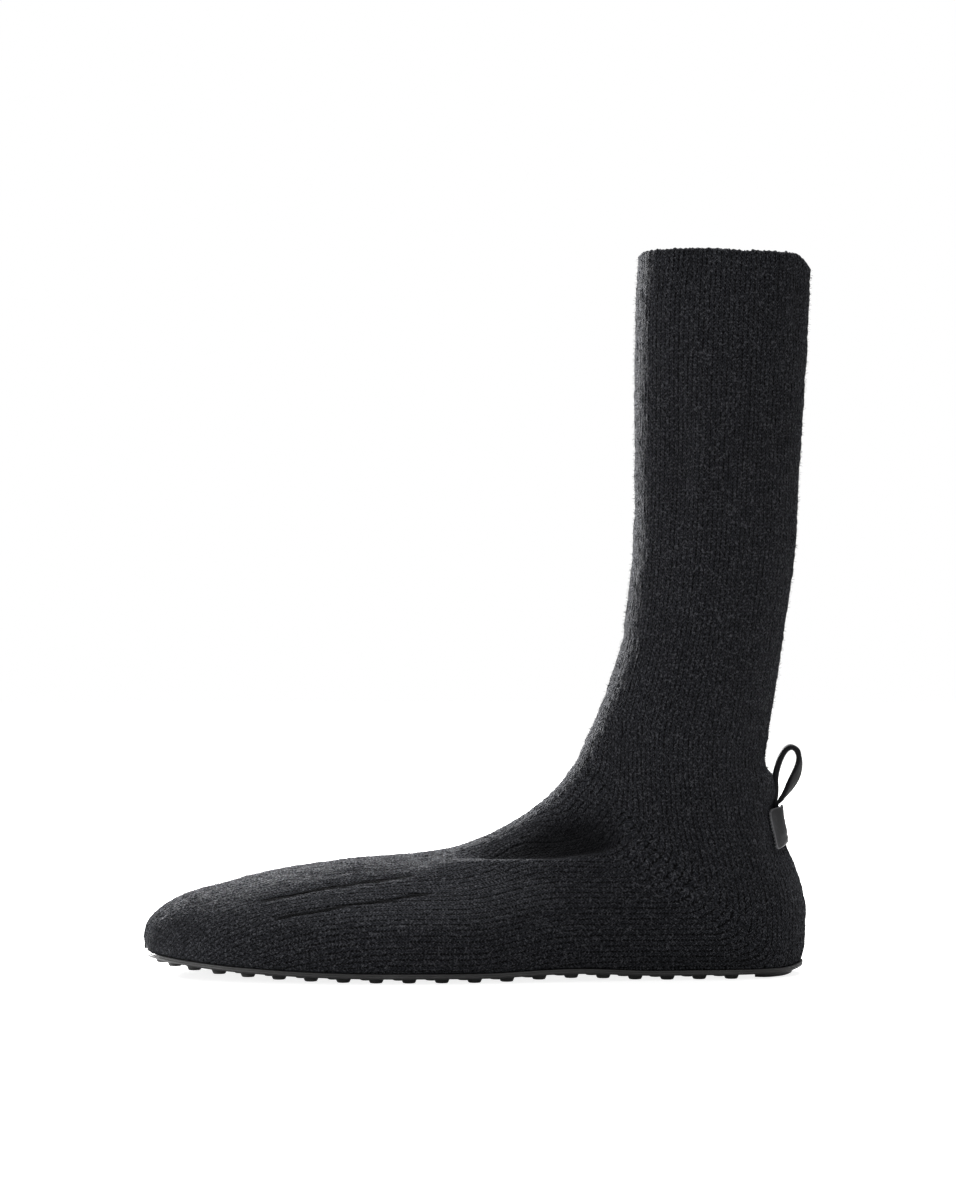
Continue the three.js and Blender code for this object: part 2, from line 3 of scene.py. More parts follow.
import bmesh
import bpy
import numpy as np
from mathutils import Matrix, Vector


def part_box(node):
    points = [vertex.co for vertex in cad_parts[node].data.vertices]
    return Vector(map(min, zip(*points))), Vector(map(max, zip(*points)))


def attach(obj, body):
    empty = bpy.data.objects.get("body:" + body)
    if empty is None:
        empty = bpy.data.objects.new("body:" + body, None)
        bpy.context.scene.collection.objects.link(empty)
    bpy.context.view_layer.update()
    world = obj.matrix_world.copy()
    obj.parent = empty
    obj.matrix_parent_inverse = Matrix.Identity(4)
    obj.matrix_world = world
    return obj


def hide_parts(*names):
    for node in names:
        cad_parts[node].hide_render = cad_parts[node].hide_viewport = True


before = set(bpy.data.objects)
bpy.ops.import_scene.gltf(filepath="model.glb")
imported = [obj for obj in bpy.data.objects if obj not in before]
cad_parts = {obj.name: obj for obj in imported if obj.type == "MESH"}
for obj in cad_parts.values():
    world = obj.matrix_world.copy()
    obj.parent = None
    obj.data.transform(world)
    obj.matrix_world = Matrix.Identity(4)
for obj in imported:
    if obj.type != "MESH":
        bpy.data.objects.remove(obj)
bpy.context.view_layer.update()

bl_info = {
    "name": "Knit Sock Boot",
    "version": (1, 0, 0),
    "blender": (4, 5, 0),
    "location": "View3D > Sidebar > Sock Boot",
    "description": "Makes the knit, sole, footbed, heel tab and pull loop of a left sock boot",
    "category": "Object",
}

MM = 0.001
BODY = "root"

# The last, in millimetres: the toe towards -X, the outer side of the foot towards -Y, the floor at z = 0.
LENGTH = 257.0
BALL_WIDTH = 92.0
ANKLE_HEIGHT = 100.0
HEEL_BACK = 28.5
GAP = 0.3
KNIT_WALL = 2.4
COLLAR_ROUNDING = 0.9
STUD_HEIGHT = 1.8
PLATE = 2.0
LIP = 0.9
ARCH_RISE = 1.2
TOE_SPRING = 4.7
HEEL_LIFT = 2.0
FLAT_HEEL_FRONT = -28.0
FLAT_BALL_BACK, FLAT_BALL_FRONT = -98.0, -134.0
HEEL_LIFT_START = 17.0

# The sections of the last from the toe to the collar, as in the part's own table: ahead is in % of LENGTH,
# up is in % of ANKLE_HEIGHT, and the widths, the middle line and the ridge are in % of BALL_WIDTH.
COLUMNS = (
    "front_ahead", "front_up", "back_ahead", "back_up",
    "outer", "inner", "widest", "crown", "base", "middle", "ridge", "bend",
)
MIRRORED = {"front_ahead", "back_ahead"}
SECTIONS = np.array([
    (100, 10.6, 100, 10.6, 0, 0, 0.46, 2.0, 2.2, 7.6, 7.6, 0),
    (99.7, 18.9, 99.3, 4, 10.5, 10.5, 0.47, 2.0, 2.3, 7.6, 7.6, 0),
    (97.6, 24.9, 97.3, -1, 21.2, 21.7, 0.49, 2.1, 2.4, 7, 7.4, 0),
    (93.8, 29.8, 93.6, -4, 32, 31.5, 0.52, 2.1, 2.5, 5.4, 7, 0),
    (87.7, 34.4, 87.7, -7, 41.3, 39.7, 0.53, 2.1, 2.6, 3.2, 6.6, 0),
    (80, 39.1, 80, -8, 47.3, 45.1, 0.56, 2.1, 2.6, 1.3, 6.5, 0),
    (71, 42.7, 71, -9, 51, 47.8, 0.585, 2.05, 2.6, 0.3, 6, 0),
    (61.7, 44.8, 61.3, -9, 52.3, 46.8, 0.6, 2.0, 2.6, 0, 5.4, 0),
    (53.5, 48.0, 51.2, -9, 50.5, 43, 0.61, 1.85, 2.6, 0, 4.9, 0),
    (47.3, 54.2, 41.4, -9, 45.7, 38.6, 0.64, 1.7, 2.6, 0, 4.3, 0),
    (42.2, 62.0, 32.1, -9, 41.3, 35.3, 0.665, 1.65, 2.6, 0, 3.3, 0),
    (38.1, 70.2, 22.8, -9, 38, 34.2, 0.68, 1.7, 2.6, 0, 2.2, 0),
    (35.4, 79, 13.4, -9, 35.9, 34.2, 0.66, 1.75, 2.5, 0, 1.6, 2),
    (34.4, 83, 5.6, -7, 35.1, 34.2, 0.63, 1.8, 2.4, 0, 1.2, 5),
    (33.9, 86, 1, 4, 34.6, 34, 0.6, 1.85, 2.2, 0, 1, 8),
    (33.4, 88.7, 0, 20, 33.9, 33.7, 0.57, 1.9, 2.1, 0, 0.8, 11),
    (33, 91.5, 0.5, 34, 33.3, 33.2, 0.56, 1.95, 2, 0, 0.6, 12),
    (32.5, 94.2, 2.8, 49, 32.6, 32.6, 0.55, 2, 2, 0, 0.5, 10),
    (32, 97, 4.9, 61, 31.8, 31.8, 0.54, 2, 2, 0, 0.4, 7),
    (31.5, 100, 5.6, 72, 31.3, 31.3, 0.53, 2, 2, 0, 0.3, 4),
    (30.9, 104, 6.2, 84, 30.7, 30.7, 0.52, 2, 2, 0, 0.2, 2),
    (30, 110.5, 5.6, 95, 30.2, 30.2, 0.51, 2, 2, 0, 0, 0),
    (28.5, 122.5, 4.5, 114, 29.6, 29.6, 0.5, 2, 2, 0, 0, 0),
    (27, 141, 3.1, 138.5, 28.8, 28.8, 0.5, 2.05, 2.05, 0, 0, 0),
    (26.05, 166, 1.7, 165.5, 28.3, 28.3, 0.5, 2.1, 2.1, 0, 0, 0),
    (25.8, 195, 1, 195, 28, 28, 0.5, 2.1, 2.1, 0, 0, 0),
    (25.8, 226, 0.2, 226, 28.3, 28.3, 0.5, 2.1, 2.1, 0, 0, 0),
    (25.7, 256, -0.5, 256, 28.8, 28.8, 0.5, 2.1, 2.1, 0, 0, 0),
    (25.2, 278.4, -0.9, 278.4, 28.8, 28.8, 0.5, 2.1, 2.1, 0, 0, 0),
])
LAST_SECTION = len(SECTIONS) - 1
# The knit can't end on the top of the foot, which is this share of a section's side, finely sampled.
SIDE_SAMPLES, TOP_SHARE = 1200, 0.3

# Where in the table the sole's edge meets the back of the heel, and where the tab lies.
HEEL_ROWS = (12.0, 16.0)
TAB_ROWS = (14.0, 21.0)

# The wales run along the foot, turn upwards behind the instep in a mitre, and run up the leg.
FOOT_ROW, FOOT_END = 8.0, 10.4
LEG_START, LEG_ROW = 18.0, 21.0
LEG_RING = 20.0
FINE, ROW_SAMPLES = 200, 260

# How the counts of wales and courses blend. The mitre is rounded over 16 wales and, from 8 to 30 wales off the
# front line, over fewer. Near the front line, in millimetres from it, the wales lie evenly, their count is
# never less than a share of an even one, and the courses follow the line.
MITRE_REACH, MITRE_WALES = (16, 5), (8, 30)
LEAST_SHARE, LEAST_ARC, LEAST_REACH = 0.75, 40, 4
EVEN_ARC, COURSE_ARC = (4, 16), (8, 34)
WALE_IN_FRONT = 1.8


def smooth(low, high, value):
    """0 below low, 1 above high and a soft step between them."""
    share = np.clip((np.asarray(value, float) - low) / (high - low), 0, 1)
    return share * share * (3 - 2 * share)


def section(t):
    """The sizes of the last's section at a place in the table, each a number or an array shaped like t."""
    t = np.asarray(t, float)
    k = np.clip(np.floor(t).astype(int), 0, LAST_SECTION - 1)
    u = t - k
    out = {}
    for i, name in enumerate(COLUMNS):
        values = SECTIONS[:, i]
        flip = 1 if name in MIRRORED else -1
        before = values[0] + flip * (values[1] - values[0])
        after = 2 * values[-1] - values[-2]
        padded = np.concatenate(([before], values, [after]))
        a, b, c, d = (padded[k + j] for j in range(4))
        out[name] = b + 0.5 * u * (c - a + u * (2 * a - 5 * b + 4 * c - d + u * (3 * (b - c) + d - a)))
    for name in ("outer", "inner", "middle", "ridge"):
        out[name] = out[name] / 100 * BALL_WIDTH
    for end in ("front", "back"):
        out[end + "_x"] = HEEL_BACK - out[end + "_ahead"] / 100 * LENGTH
        out[end + "_z"] = out[end + "_up"] / 100 * ANKLE_HEIGHT
    return out


def point_on(t, turn, side):
    """Points on the outside of the knit. turn runs from 0 at the front of a section to 1 at its back; side is
    -1 on the outer side of the foot and 1 on the inner side."""
    s = section(t)
    turn = np.asarray(turn, float)
    angle = np.pi * turn
    power = 2 / np.where(turn < 0.5, s["crown"], s["base"])
    reach = np.abs(np.cos(angle)) ** power
    along = np.where(turn < 0.5, s["widest"] * (1 - reach), s["widest"] + (1 - s["widest"]) * reach)
    wide = np.maximum(np.sin(angle), 0) ** power
    lean = np.maximum(1 - along / s["widest"], 0) ** 2
    dx, dz = s["back_x"] - s["front_x"], s["back_z"] - s["front_z"]
    bend = 4 * s["bend"] * along * (1 - along) / np.maximum(np.hypot(dx, dz), 1)
    half = np.where(np.asarray(side) < 0, s["outer"], s["inner"])
    return np.stack(np.broadcast_arrays(
        s["front_x"] + dx * along + dz * bend,
        s["middle"] + (s["ridge"] - s["middle"]) * lean + side * wide * half,
        s["front_z"] + dz * along - dx * bend,
    ), axis=-1)


def plate_under(x):
    """Height of the plate's underside: flat under heel and ball, raised between them, lifted at both ends."""
    x = np.asarray(x, float)
    heel = HEEL_LIFT * (np.maximum(x - HEEL_LIFT_START, 0) / (HEEL_BACK - HEEL_LIFT_START)) ** 2
    ahead = np.maximum(FLAT_BALL_FRONT - x, 0) / (FLAT_BALL_FRONT - (HEEL_BACK - LENGTH))
    share = np.clip((FLAT_HEEL_FRONT - x) / (FLAT_HEEL_FRONT - FLAT_BALL_BACK), 0, 1)
    return STUD_HEIGHT + heel + TOE_SPRING * ahead ** 1.9 + ARCH_RISE * np.sin(np.pi * share) ** 2


def plate_top(x):
    """Height of the top of the sole's plate."""
    return plate_under(x) + PLATE


def feather_height(x):
    """Height of the knit's lower edge, just clear of the plate."""
    return plate_top(x) + GAP


def crossing(f, low, high, shape=()):
    """Where f changes from positive to negative between two values, one by one for an array of a shape."""
    low, high = np.full(shape, float(low)), np.full(shape, float(high))
    for _ in range(40):
        mid = (low + high) / 2
        above = f(mid) > 0
        low, high = np.where(above, mid, low), np.where(above, high, mid)
    return (low + high) / 2


def heel_gap(t):
    """How far the back of a section lies below the knit's lower edge."""
    s = section(t)
    return feather_height(s["back_x"]) - s["back_z"]


HEEL_CLOSING = float(crossing(heel_gap, *HEEL_ROWS))

# The boot stands over the origin, so the last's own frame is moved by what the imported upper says.
UPPER_LOW, UPPER_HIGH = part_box("upper")
SHIFT = np.array((
    UPPER_LOW.x / MM - (HEEL_BACK - LENGTH),
    UPPER_HIGH.y / MM - float(np.max(point_on(6.3, np.linspace(0, 1, 99), 1)[:, 1])),
    0.0,
))


def lengths_along(line):
    """The distance of each point of a line from its start."""
    return np.concatenate(([0], np.cumsum(np.linalg.norm(np.diff(line, axis=0), axis=1))))


def at_distances(line, wanted):
    """Points of a line at distances from its start."""
    lengths = lengths_along(line)
    return np.stack([np.interp(wanted, lengths, line[:, i]) for i in range(line.shape[1])], axis=1)


def evenly_along(line, count):
    """A number of points evenly spread over a line."""
    return at_distances(line, np.linspace(0, lengths_along(line)[-1], count))


def spread_side(t, side, count):
    """Points evenly spread over one side of a section, from its front to where the knit ends."""
    line = point_on(t, np.linspace(0, 1, SIDE_SAMPLES + 1), side)
    above = line[:, 2] - feather_height(line[:, 0])
    if t < HEEL_CLOSING and above[-1] < 0:
        top = int(SIDE_SAMPLES * TOP_SHARE)
        first = top + int(np.argmax(above[top:] < 0))
        share = above[first - 1] / (above[first - 1] - above[first])
        end = line[first - 1] + share * (line[first] - line[first - 1])
        line = np.vstack((line[:first], end))
    return evenly_along(line, count + 1)


def knit_row(t, outer_count, inner_count):
    """One row of the knit, from the outer side's edge over the front to the inner side's edge."""
    outer, inner = spread_side(t, -1, outer_count), spread_side(t, 1, inner_count)
    row = np.vstack((outer[::-1], inner[1:]))
    if t == 0:
        row[:, 2] = feather_height(row[:, 0])
    return row


def even_rows(start, end, step):
    """Places between two sections so that no part of the knit's rows is further apart than a step."""
    samples = np.linspace(start, end, ROW_SAMPLES)
    net = np.array([knit_row(t, 10, 10) for t in samples])
    apart = np.linalg.norm(np.diff(net, axis=0), axis=2).max(axis=1)
    lengths = np.concatenate(([0], np.cumsum(apart)))
    count = int(math.ceil(lengths[-1] / step))
    return np.interp(np.linspace(0, lengths[-1], count + 1), lengths, samples)


def net_normals(net, closed):
    """Directions out of a net of points, one for each; closed says which rows join up behind."""
    along = np.gradient(net, axis=0)
    across = np.gradient(net, axis=1)
    wrap = (net[:, 1] - net[:, -2]) / 2
    across[closed, 0] = wrap[closed]
    across[closed, -1] = wrap[closed]
    seam = (along[:, 0] + along[:, -1]) / 2
    along[closed, 0] = seam[closed]
    along[closed, -1] = seam[closed]
    normals = np.cross(along, across)
    normals[0] = (-1, 0, 0)
    return normals / np.maximum(np.linalg.norm(normals, axis=2, keepdims=True), 1e-9)


# The main creases, placed on the knit as its outer side shows it. line is a list of (ahead of or
# behind the boot's middle, up) in millimetres; depth is how far the knit sinks, or rises where it is negative;
# below and above are how far it reaches to either side of the line; fade is the share of its length over which
# each end dies out; outer, inner and outline are its shares on the two sides of the foot and at the front line;
# thin is the strength of a dark, crisp line along it.
# thin gives a line of painted shade: the knit's colour is darkened along the crease.
CREASE_COLUMNS = ("depth", "below", "above", "fade", "outer", "inner", "outline", "thin", "line")
CREASES = {
    "hollow over the instep": (
        4.8, 2.8, 14.5, 0.3, 1, 0.7, 0, 0,
        [(-18, 45.4), (-3, 47.6), (12, 48.8), (30, 49.4), (44, 50.6), (56, 53), (67, 57)]),
    "deepest part of the hollow": (1.0, 8, 9, 0.4, 1, 0.6, 0, 0, [(8, 55), (28, 57), (50, 61)]),
    "slope over the hollow": (1.9, 10, 9, 0.3, 1, 0.7, 0, 0, [(-6, 55), (22, 66), (40, 82), (50, 100)]),
    "swell behind the strap": (-2.4, 5, 5, 0.35, 1, 1, 1, 0, [(111, 81.5), (113, 76), (115, 70), (117, 64)]),
    "fold under the hollow": (
        -1.7, 4.6, 2.4, 0.22, 1, 0.7, 1, 0,
        [(-40, 37.5), (-15, 41.4), (-3, 43.3), (16, 44.9), (31, 45.8), (46, 47.6), (59, 50.6), (68, 58),
         (71, 68)]),
    "first groove on the vamp": (
        0.25, 0.8, 0.9, 0.3, 1, 0, 1, 0.3, [(-75, 37.8), (-65.3, 38.8), (-55.9, 39.9)]),
    "long groove on the vamp": (
        0.7, 0.8, 1.0, 0.15, 1, 0, 1, 0.8,
        [(-88, 29), (-76.5, 31.6), (-65.8, 33.9), (-56.4, 35.9), (-44.6, 37.4), (-32.7, 38.6), (-20, 39.7)]),
    "low groove on the vamp": (
        0.6, 0.8, 1.0, 0.15, 1, 0, 1, 0.8,
        [(-83, 22.3), (-71.3, 25.7), (-60.9, 27.2), (-49.1, 29.7), (-34.9, 31.4), (-22.9, 33.4), (-12, 34.3)]),
    "groove on the inner side of the vamp": (
        1.1, 1.1, 1.3, 0.3, 0, 1, 1, 0.6, [(-92, 29), (-66, 33.5), (-44, 36.5), (-24, 38.5)]),
    "dent in the shaft": (1.5, 6, 6, 0.4, 1, 0.4, 1, 0, [(77, 236), (76, 200), (77.5, 160)]),
    "fold down the shaft": (-1.4, 3.6, 3.2, 0.4, 1, 0.4, 1, 0, [(87.8, 238), (85.4, 200), (84, 158)]),
    "dent under the collar": (1.9, 7, 7, 0.3, 1, 0.3, 1, 0, [(80, 286), (83, 275), (87, 267)]),
    "crease down the back": (1.0, 2, 2.4, 0.3, 1, 0.6, 1, 0, [(124.5, 281), (124, 264), (122, 240)]),
    "shin": (0.9, 4, 4, 0.3, 1, 1, 1, 0, [(44, 99), (56, 96), (68, 92)]),
    "upper shin": (0.7, 5, 5, 0.3, 1, 1, 1, 0, [(50, 132), (62, 129), (74, 126)]),
    "instep on the inner side": (1.6, 6, 9, 0.4, 0, 1.6, 1, 0, [(40, 78), (58, 74), (78, 72)]),
}


def nearest_on(line, x, z):
    """How far each spot lies from a line, on which side of it, and at what share of its length."""
    spans = np.linalg.norm(np.diff(line, axis=0), axis=1)
    starts = lengths_along(line)
    best, side, place = np.full(x.shape, 1e9), np.zeros(x.shape), np.zeros(x.shape)
    for i, span in enumerate(spans):
        a, d = line[i], (line[i + 1] - line[i]) / span
        along = np.clip((x - a[0]) * d[0] + (z - a[1]) * d[1], 0, span)
        off_x, off_z = x - a[0] - along * d[0], z - a[1] - along * d[1]
        far = np.hypot(off_x, off_z)
        nearer = far < best
        best = np.where(nearer, far, best)
        side = np.where(nearer, d[0] * off_z - d[1] * off_x, side)
        place = np.where(nearer, (starts[i] + along) / starts[-1], place)
    return best, side, place


def crease_depth(points, arc):
    """How far each point of the knit sinks in all the creases together, and how close it lies to a thin one's
    line of painted shade (1 on its line, 0 from a millimetre off). arc is each point's distance from the front
    line."""
    outer = 1 - smooth(-8, 10, points[..., 1])
    total, thin = np.zeros(arc.shape), np.zeros(arc.shape)
    for values in CREASES.values():
        crease = dict(zip(CREASE_COLUMNS, values))
        far, side, place = nearest_on(np.array(crease["line"], float), points[..., 0], points[..., 2])
        width = np.where(side > 0, crease["above"], crease["below"])
        ends = smooth(0, crease["fade"], place) * smooth(0, crease["fade"], 1 - place)
        weight = crease["inner"] + (crease["outer"] - crease["inner"]) * outer
        weight = weight * (crease["outline"] + (1 - crease["outline"]) * smooth(6, 26, arc))
        total += crease["depth"] * weight * ends * np.exp(-((far / width) ** 2))
        thin = np.maximum(thin, crease["thin"] * weight * ends * np.maximum(1 - far, 0))
    return total, thin


WAVES = 7


def unevenness(points, size, seed):
    """A soft, uneven wave over the surface, between about -1 and 1, with waves about a size long."""
    rng = np.random.default_rng(seed)
    total = np.zeros(points.shape[:-1])
    for _ in range(WAVES):
        direction = rng.normal(size=3)
        direction *= 2 * np.pi / size * rng.uniform(0.6, 1.5) / np.linalg.norm(direction)
        total += np.sin(points @ direction + rng.uniform(0, 2 * np.pi))
    return total / (WAVES / 2)


def add_object(name, data):
    """A new object in the scene."""
    made = bpy.data.objects.new(name, data)
    bpy.context.collection.objects.link(made)
    return made


def new_object(name, mesh, material=None):
    """A finished piece: placed in its mesh, with a material if one is given, riding on the boot's one body."""
    if material:
        mesh.materials.append(material)
    piece = add_object(name, mesh)
    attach(piece, BODY)
    return piece


def smoothed(mesh):
    """Shades all faces of a mesh smooth."""
    mesh.polygons.foreach_set("use_smooth", [True] * len(mesh.polygons))
    return mesh


def plain_mesh(name, points, faces=()):
    """A mesh from points in the scene's metres and faces."""
    mesh = bpy.data.meshes.new(name)
    mesh.from_pydata([tuple(p) for p in points], [], faces)
    return mesh


def mesh_from(name, points, faces):
    """A smooth mesh from points in millimetres and faces."""
    mesh = plain_mesh(name, np.asarray(points) * MM, faces)
    mesh.validate()
    return smoothed(mesh)


def circle(radius, sides):
    """Points round a circle."""
    angles = [2 * math.pi * i / sides for i in range(sides)]
    return [(radius * math.cos(angle), radius * math.sin(angle)) for angle in angles]


def cleaned(mesh):
    """Merges the doubles of a closed mesh and turns its faces outwards."""
    work = bmesh.new()
    work.from_mesh(mesh)
    bmesh.ops.remove_doubles(work, verts=work.verts, dist=1e-6)
    bmesh.ops.dissolve_degenerate(work, edges=work.edges, dist=1e-7)
    bmesh.ops.recalc_face_normals(work, faces=work.faces)
    work.to_mesh(mesh)
    work.free()
    return mesh


def mark_points(mesh, name, values):
    """Keeps a number for each point of a mesh, for its material to read."""
    attribute = mesh.attributes.new(name, "FLOAT", "POINT")
    attribute.data.foreach_set("value", np.asarray(values, np.float32))


def mark_directions(mesh, name, values):
    """Keeps a direction for each point of a mesh, for a node tree to read."""
    attribute = mesh.attributes.new(name, "FLOAT_VECTOR", "POINT")
    attribute.data.foreach_set("vector", np.asarray(values, np.float32).ravel())


def strips(rows, closed=False):
    """Faces between neighbouring rows of vertex numbers."""
    faces = []
    for low, high in zip(rows, rows[1:]):
        count = len(low)
        for i in range(count if closed else count - 1):
            j = (i + 1) % count
            face = [low[i], low[j], high[j], high[i]]
            face = [v for k, v in enumerate(face) if v != face[k - 1]]
            if len(face) > 2:
                faces.append(face)
    return faces


def set_socket(tree, socket, value):
    """Links a socket to another one, or gives it a constant."""
    if isinstance(value, bpy.types.NodeSocket):
        tree.links.new(value, socket)
    else:
        socket.default_value = value


class Graph:
    """Short calls for building a node tree."""

    def __init__(self, tree):
        self.tree = tree

    def node(self, kind, inputs=None, **settings):
        node = self.tree.nodes.new(kind)
        for name, value in settings.items():
            setattr(node, name, value)
        for name, value in (inputs or {}).items():
            set_socket(self.tree, node.inputs[name], value)
        return node

    def math(self, operation, *values):
        return self.node("ShaderNodeMath", dict(enumerate(values)), operation=operation).outputs[0]

    def ramp(self, value, low, high, to_low=0.0, to_high=1.0):
        node = self.node(
            "ShaderNodeMapRange",
            {"Value": value, "From Min": low, "From Max": high, "To Min": to_low, "To Max": to_high},
            interpolation_type="SMOOTHSTEP",
        )
        return node.outputs["Result"]

    def mix(self, share, a, b):
        return self.node("ShaderNodeMix", {"Factor": share, 6: a, 7: b}, data_type="RGBA").outputs[2]

    def noise(self, vector, scale, detail=2.0, roughness=0.5):
        inputs = {"Vector": vector, "Scale": scale, "Detail": detail, "Roughness": roughness}
        return self.node("ShaderNodeTexNoise", inputs).outputs["Fac"]

    def attribute(self, name):
        return self.node("ShaderNodeAttribute", attribute_name=name).outputs["Fac"]

    def group(self, tree, **inputs):
        return self.node("ShaderNodeGroup", inputs, node_tree=tree).outputs

    def bump(self, height, strength, distance):
        inputs = {"Height": height, "Strength": strength, "Distance": distance}
        return self.node("ShaderNodeBump", inputs).outputs["Normal"]

    def send(self, out, **values):
        """Sets or links a node's sockets; an underscore in a name stands for a space."""
        for name, value in values.items():
            set_socket(self.tree, out.inputs[name.replace("_", " ")], value)


def node_tree(name, kind, inputs, outputs):
    """A new node group with named sockets; inputs gives each one's type and value."""
    tree = bpy.data.node_groups.new(name, kind)
    for socket, (socket_type, value) in inputs.items():
        made = tree.interface.new_socket(socket, in_out="INPUT", socket_type=socket_type)
        if value is not None:
            made.default_value = value
    for socket, socket_type in outputs.items():
        tree.interface.new_socket(socket, in_out="OUTPUT", socket_type=socket_type)
    g = Graph(tree)
    return g, g.node("NodeGroupInput").outputs, g.node("NodeGroupOutput")


def shader_group(name, inputs, outputs):
    """A new shader node group with numbers for outputs and inputs; an input without a value is a vector."""
    kinds = {n: ("NodeSocketVector" if v is None else "NodeSocketFloat", v) for n, v in inputs.items()}
    return node_tree(name, "ShaderNodeTree", kinds, dict.fromkeys(outputs, "NodeSocketFloat"))


def stitch_group():
    """Knit stitches from a wale and course count: two slanting legs to a stitch, a groove between the wales and
    a deeper one after each panel of wales, and a tone of its own for each stitch."""
    g, given, out = shader_group(
        "Knit stitches", {"Wale": 0.0, "Course": 0.0, "Slant": 1.0, "Panel": 5.0}, ("Height", "Deep", "Tone"))
    wale, panel = given["Wale"], given["Panel"]
    part = g.math("FRACT", g.math("ADD", wale, 0.5))
    off = g.math("MULTIPLY", g.math("ABSOLUTE", g.math("SUBTRACT", part, 0.5)), 2.0)
    leaned = g.math("ADD", given["Course"], g.math("MULTIPLY", off, given["Slant"]))
    wave = g.math("COSINE", g.math("MULTIPLY", leaned, 2 * math.pi))
    leg = g.math("MULTIPLY_ADD", wave, 0.5, 0.5)
    across = g.math("SINE", g.math("MULTIPLY", off, math.pi))
    body = g.math("POWER", g.math("MAXIMUM", across, 0.0001), 0.6)
    rib = g.math("SUBTRACT", 1.0, g.math("POWER", off, 2.0))
    height = g.math("ADD", g.math("MULTIPLY", g.math("MULTIPLY", leg, body), 0.6), g.math("MULTIPLY", rib, 0.4))
    panels = g.math("DIVIDE", g.math("ADD", wale, 0.5), panel)
    to_deep = g.math("ABSOLUTE", g.math("SUBTRACT", panels, g.math("ROUND", panels)))
    cell = g.node("ShaderNodeCombineXYZ", {0: g.math("ROUND", wale), 1: g.math("FLOOR", leaned)})
    tone = g.node("ShaderNodeTexWhiteNoise", {"Vector": cell.outputs[0]}, noise_dimensions="2D")
    g.send(out, Height=height, Deep=g.ramp(g.math("MULTIPLY", to_deep, panel), 0.0, 0.42, 1.0, 0.0),
           Tone=tone.outputs["Value"])
    return g.tree


def fibre_group():
    """Fine fibres and flecks: a height and a mask that change over a few tenths of a millimetre."""
    g, given, out = shader_group("Fibres", {"Place": None, "Scale": 1200.0}, ("Height", "Fleck", "Patch"))
    place, scale = given["Place"], given["Scale"]
    fine = g.noise(place, scale, 3.0, 0.7)
    tufts = g.noise(place, g.math("MULTIPLY", scale, 0.4), 2.0, 0.6)
    flecks = g.noise(place, g.math("MULTIPLY", scale, 0.8), 2.0, 0.7)
    patch = g.noise(place, 38.0)
    g.send(out, Height=g.math("ADD", g.math("MULTIPLY", fine, 0.5), g.math("MULTIPLY", tufts, 0.5)),
           Fleck=g.ramp(flecks, 0.5, 0.68), Patch=g.ramp(patch, 0.3, 0.7))
    return g.tree


def grain_group():
    """Leather grain: small rounded cells with fine lines between them."""
    if "Leather grain" in bpy.data.node_groups:
        return bpy.data.node_groups["Leather grain"]
    g, given, out = shader_group("Leather grain", {"Place": None, "Scale": 1500.0}, ("Height", "Wear"))
    place = given["Place"]
    inputs = {"Vector": place, "Scale": given["Scale"]}
    cells = g.node("ShaderNodeTexVoronoi", inputs, feature="DISTANCE_TO_EDGE")
    lines = g.ramp(cells.outputs["Distance"], 0.0, 0.25)
    waves = g.noise(place, 260.0, 3.0, 0.6)
    g.send(out, Height=g.math("ADD", g.math("MULTIPLY", lines, 0.5), waves), Wear=g.ramp(waves, 0.45, 0.7))
    return g.tree


def new_material(name):
    """A material with its tree, its shader and the place on the boot that it is read from."""
    material = bpy.data.materials.new(name)
    material.use_nodes = True
    material.node_tree.nodes.clear()
    g = Graph(material.node_tree)
    shader = g.node("ShaderNodeBsdfPrincipled")
    g.node("ShaderNodeOutputMaterial", {"Surface": shader.outputs["BSDF"]})
    return material, g, shader, g.node("ShaderNodeTexCoord").outputs["Object"]


def shade(colour, factor):
    """A colour made lighter or darker."""
    return (*(min(c * factor, 1) for c in colour[:3]), 1.0)


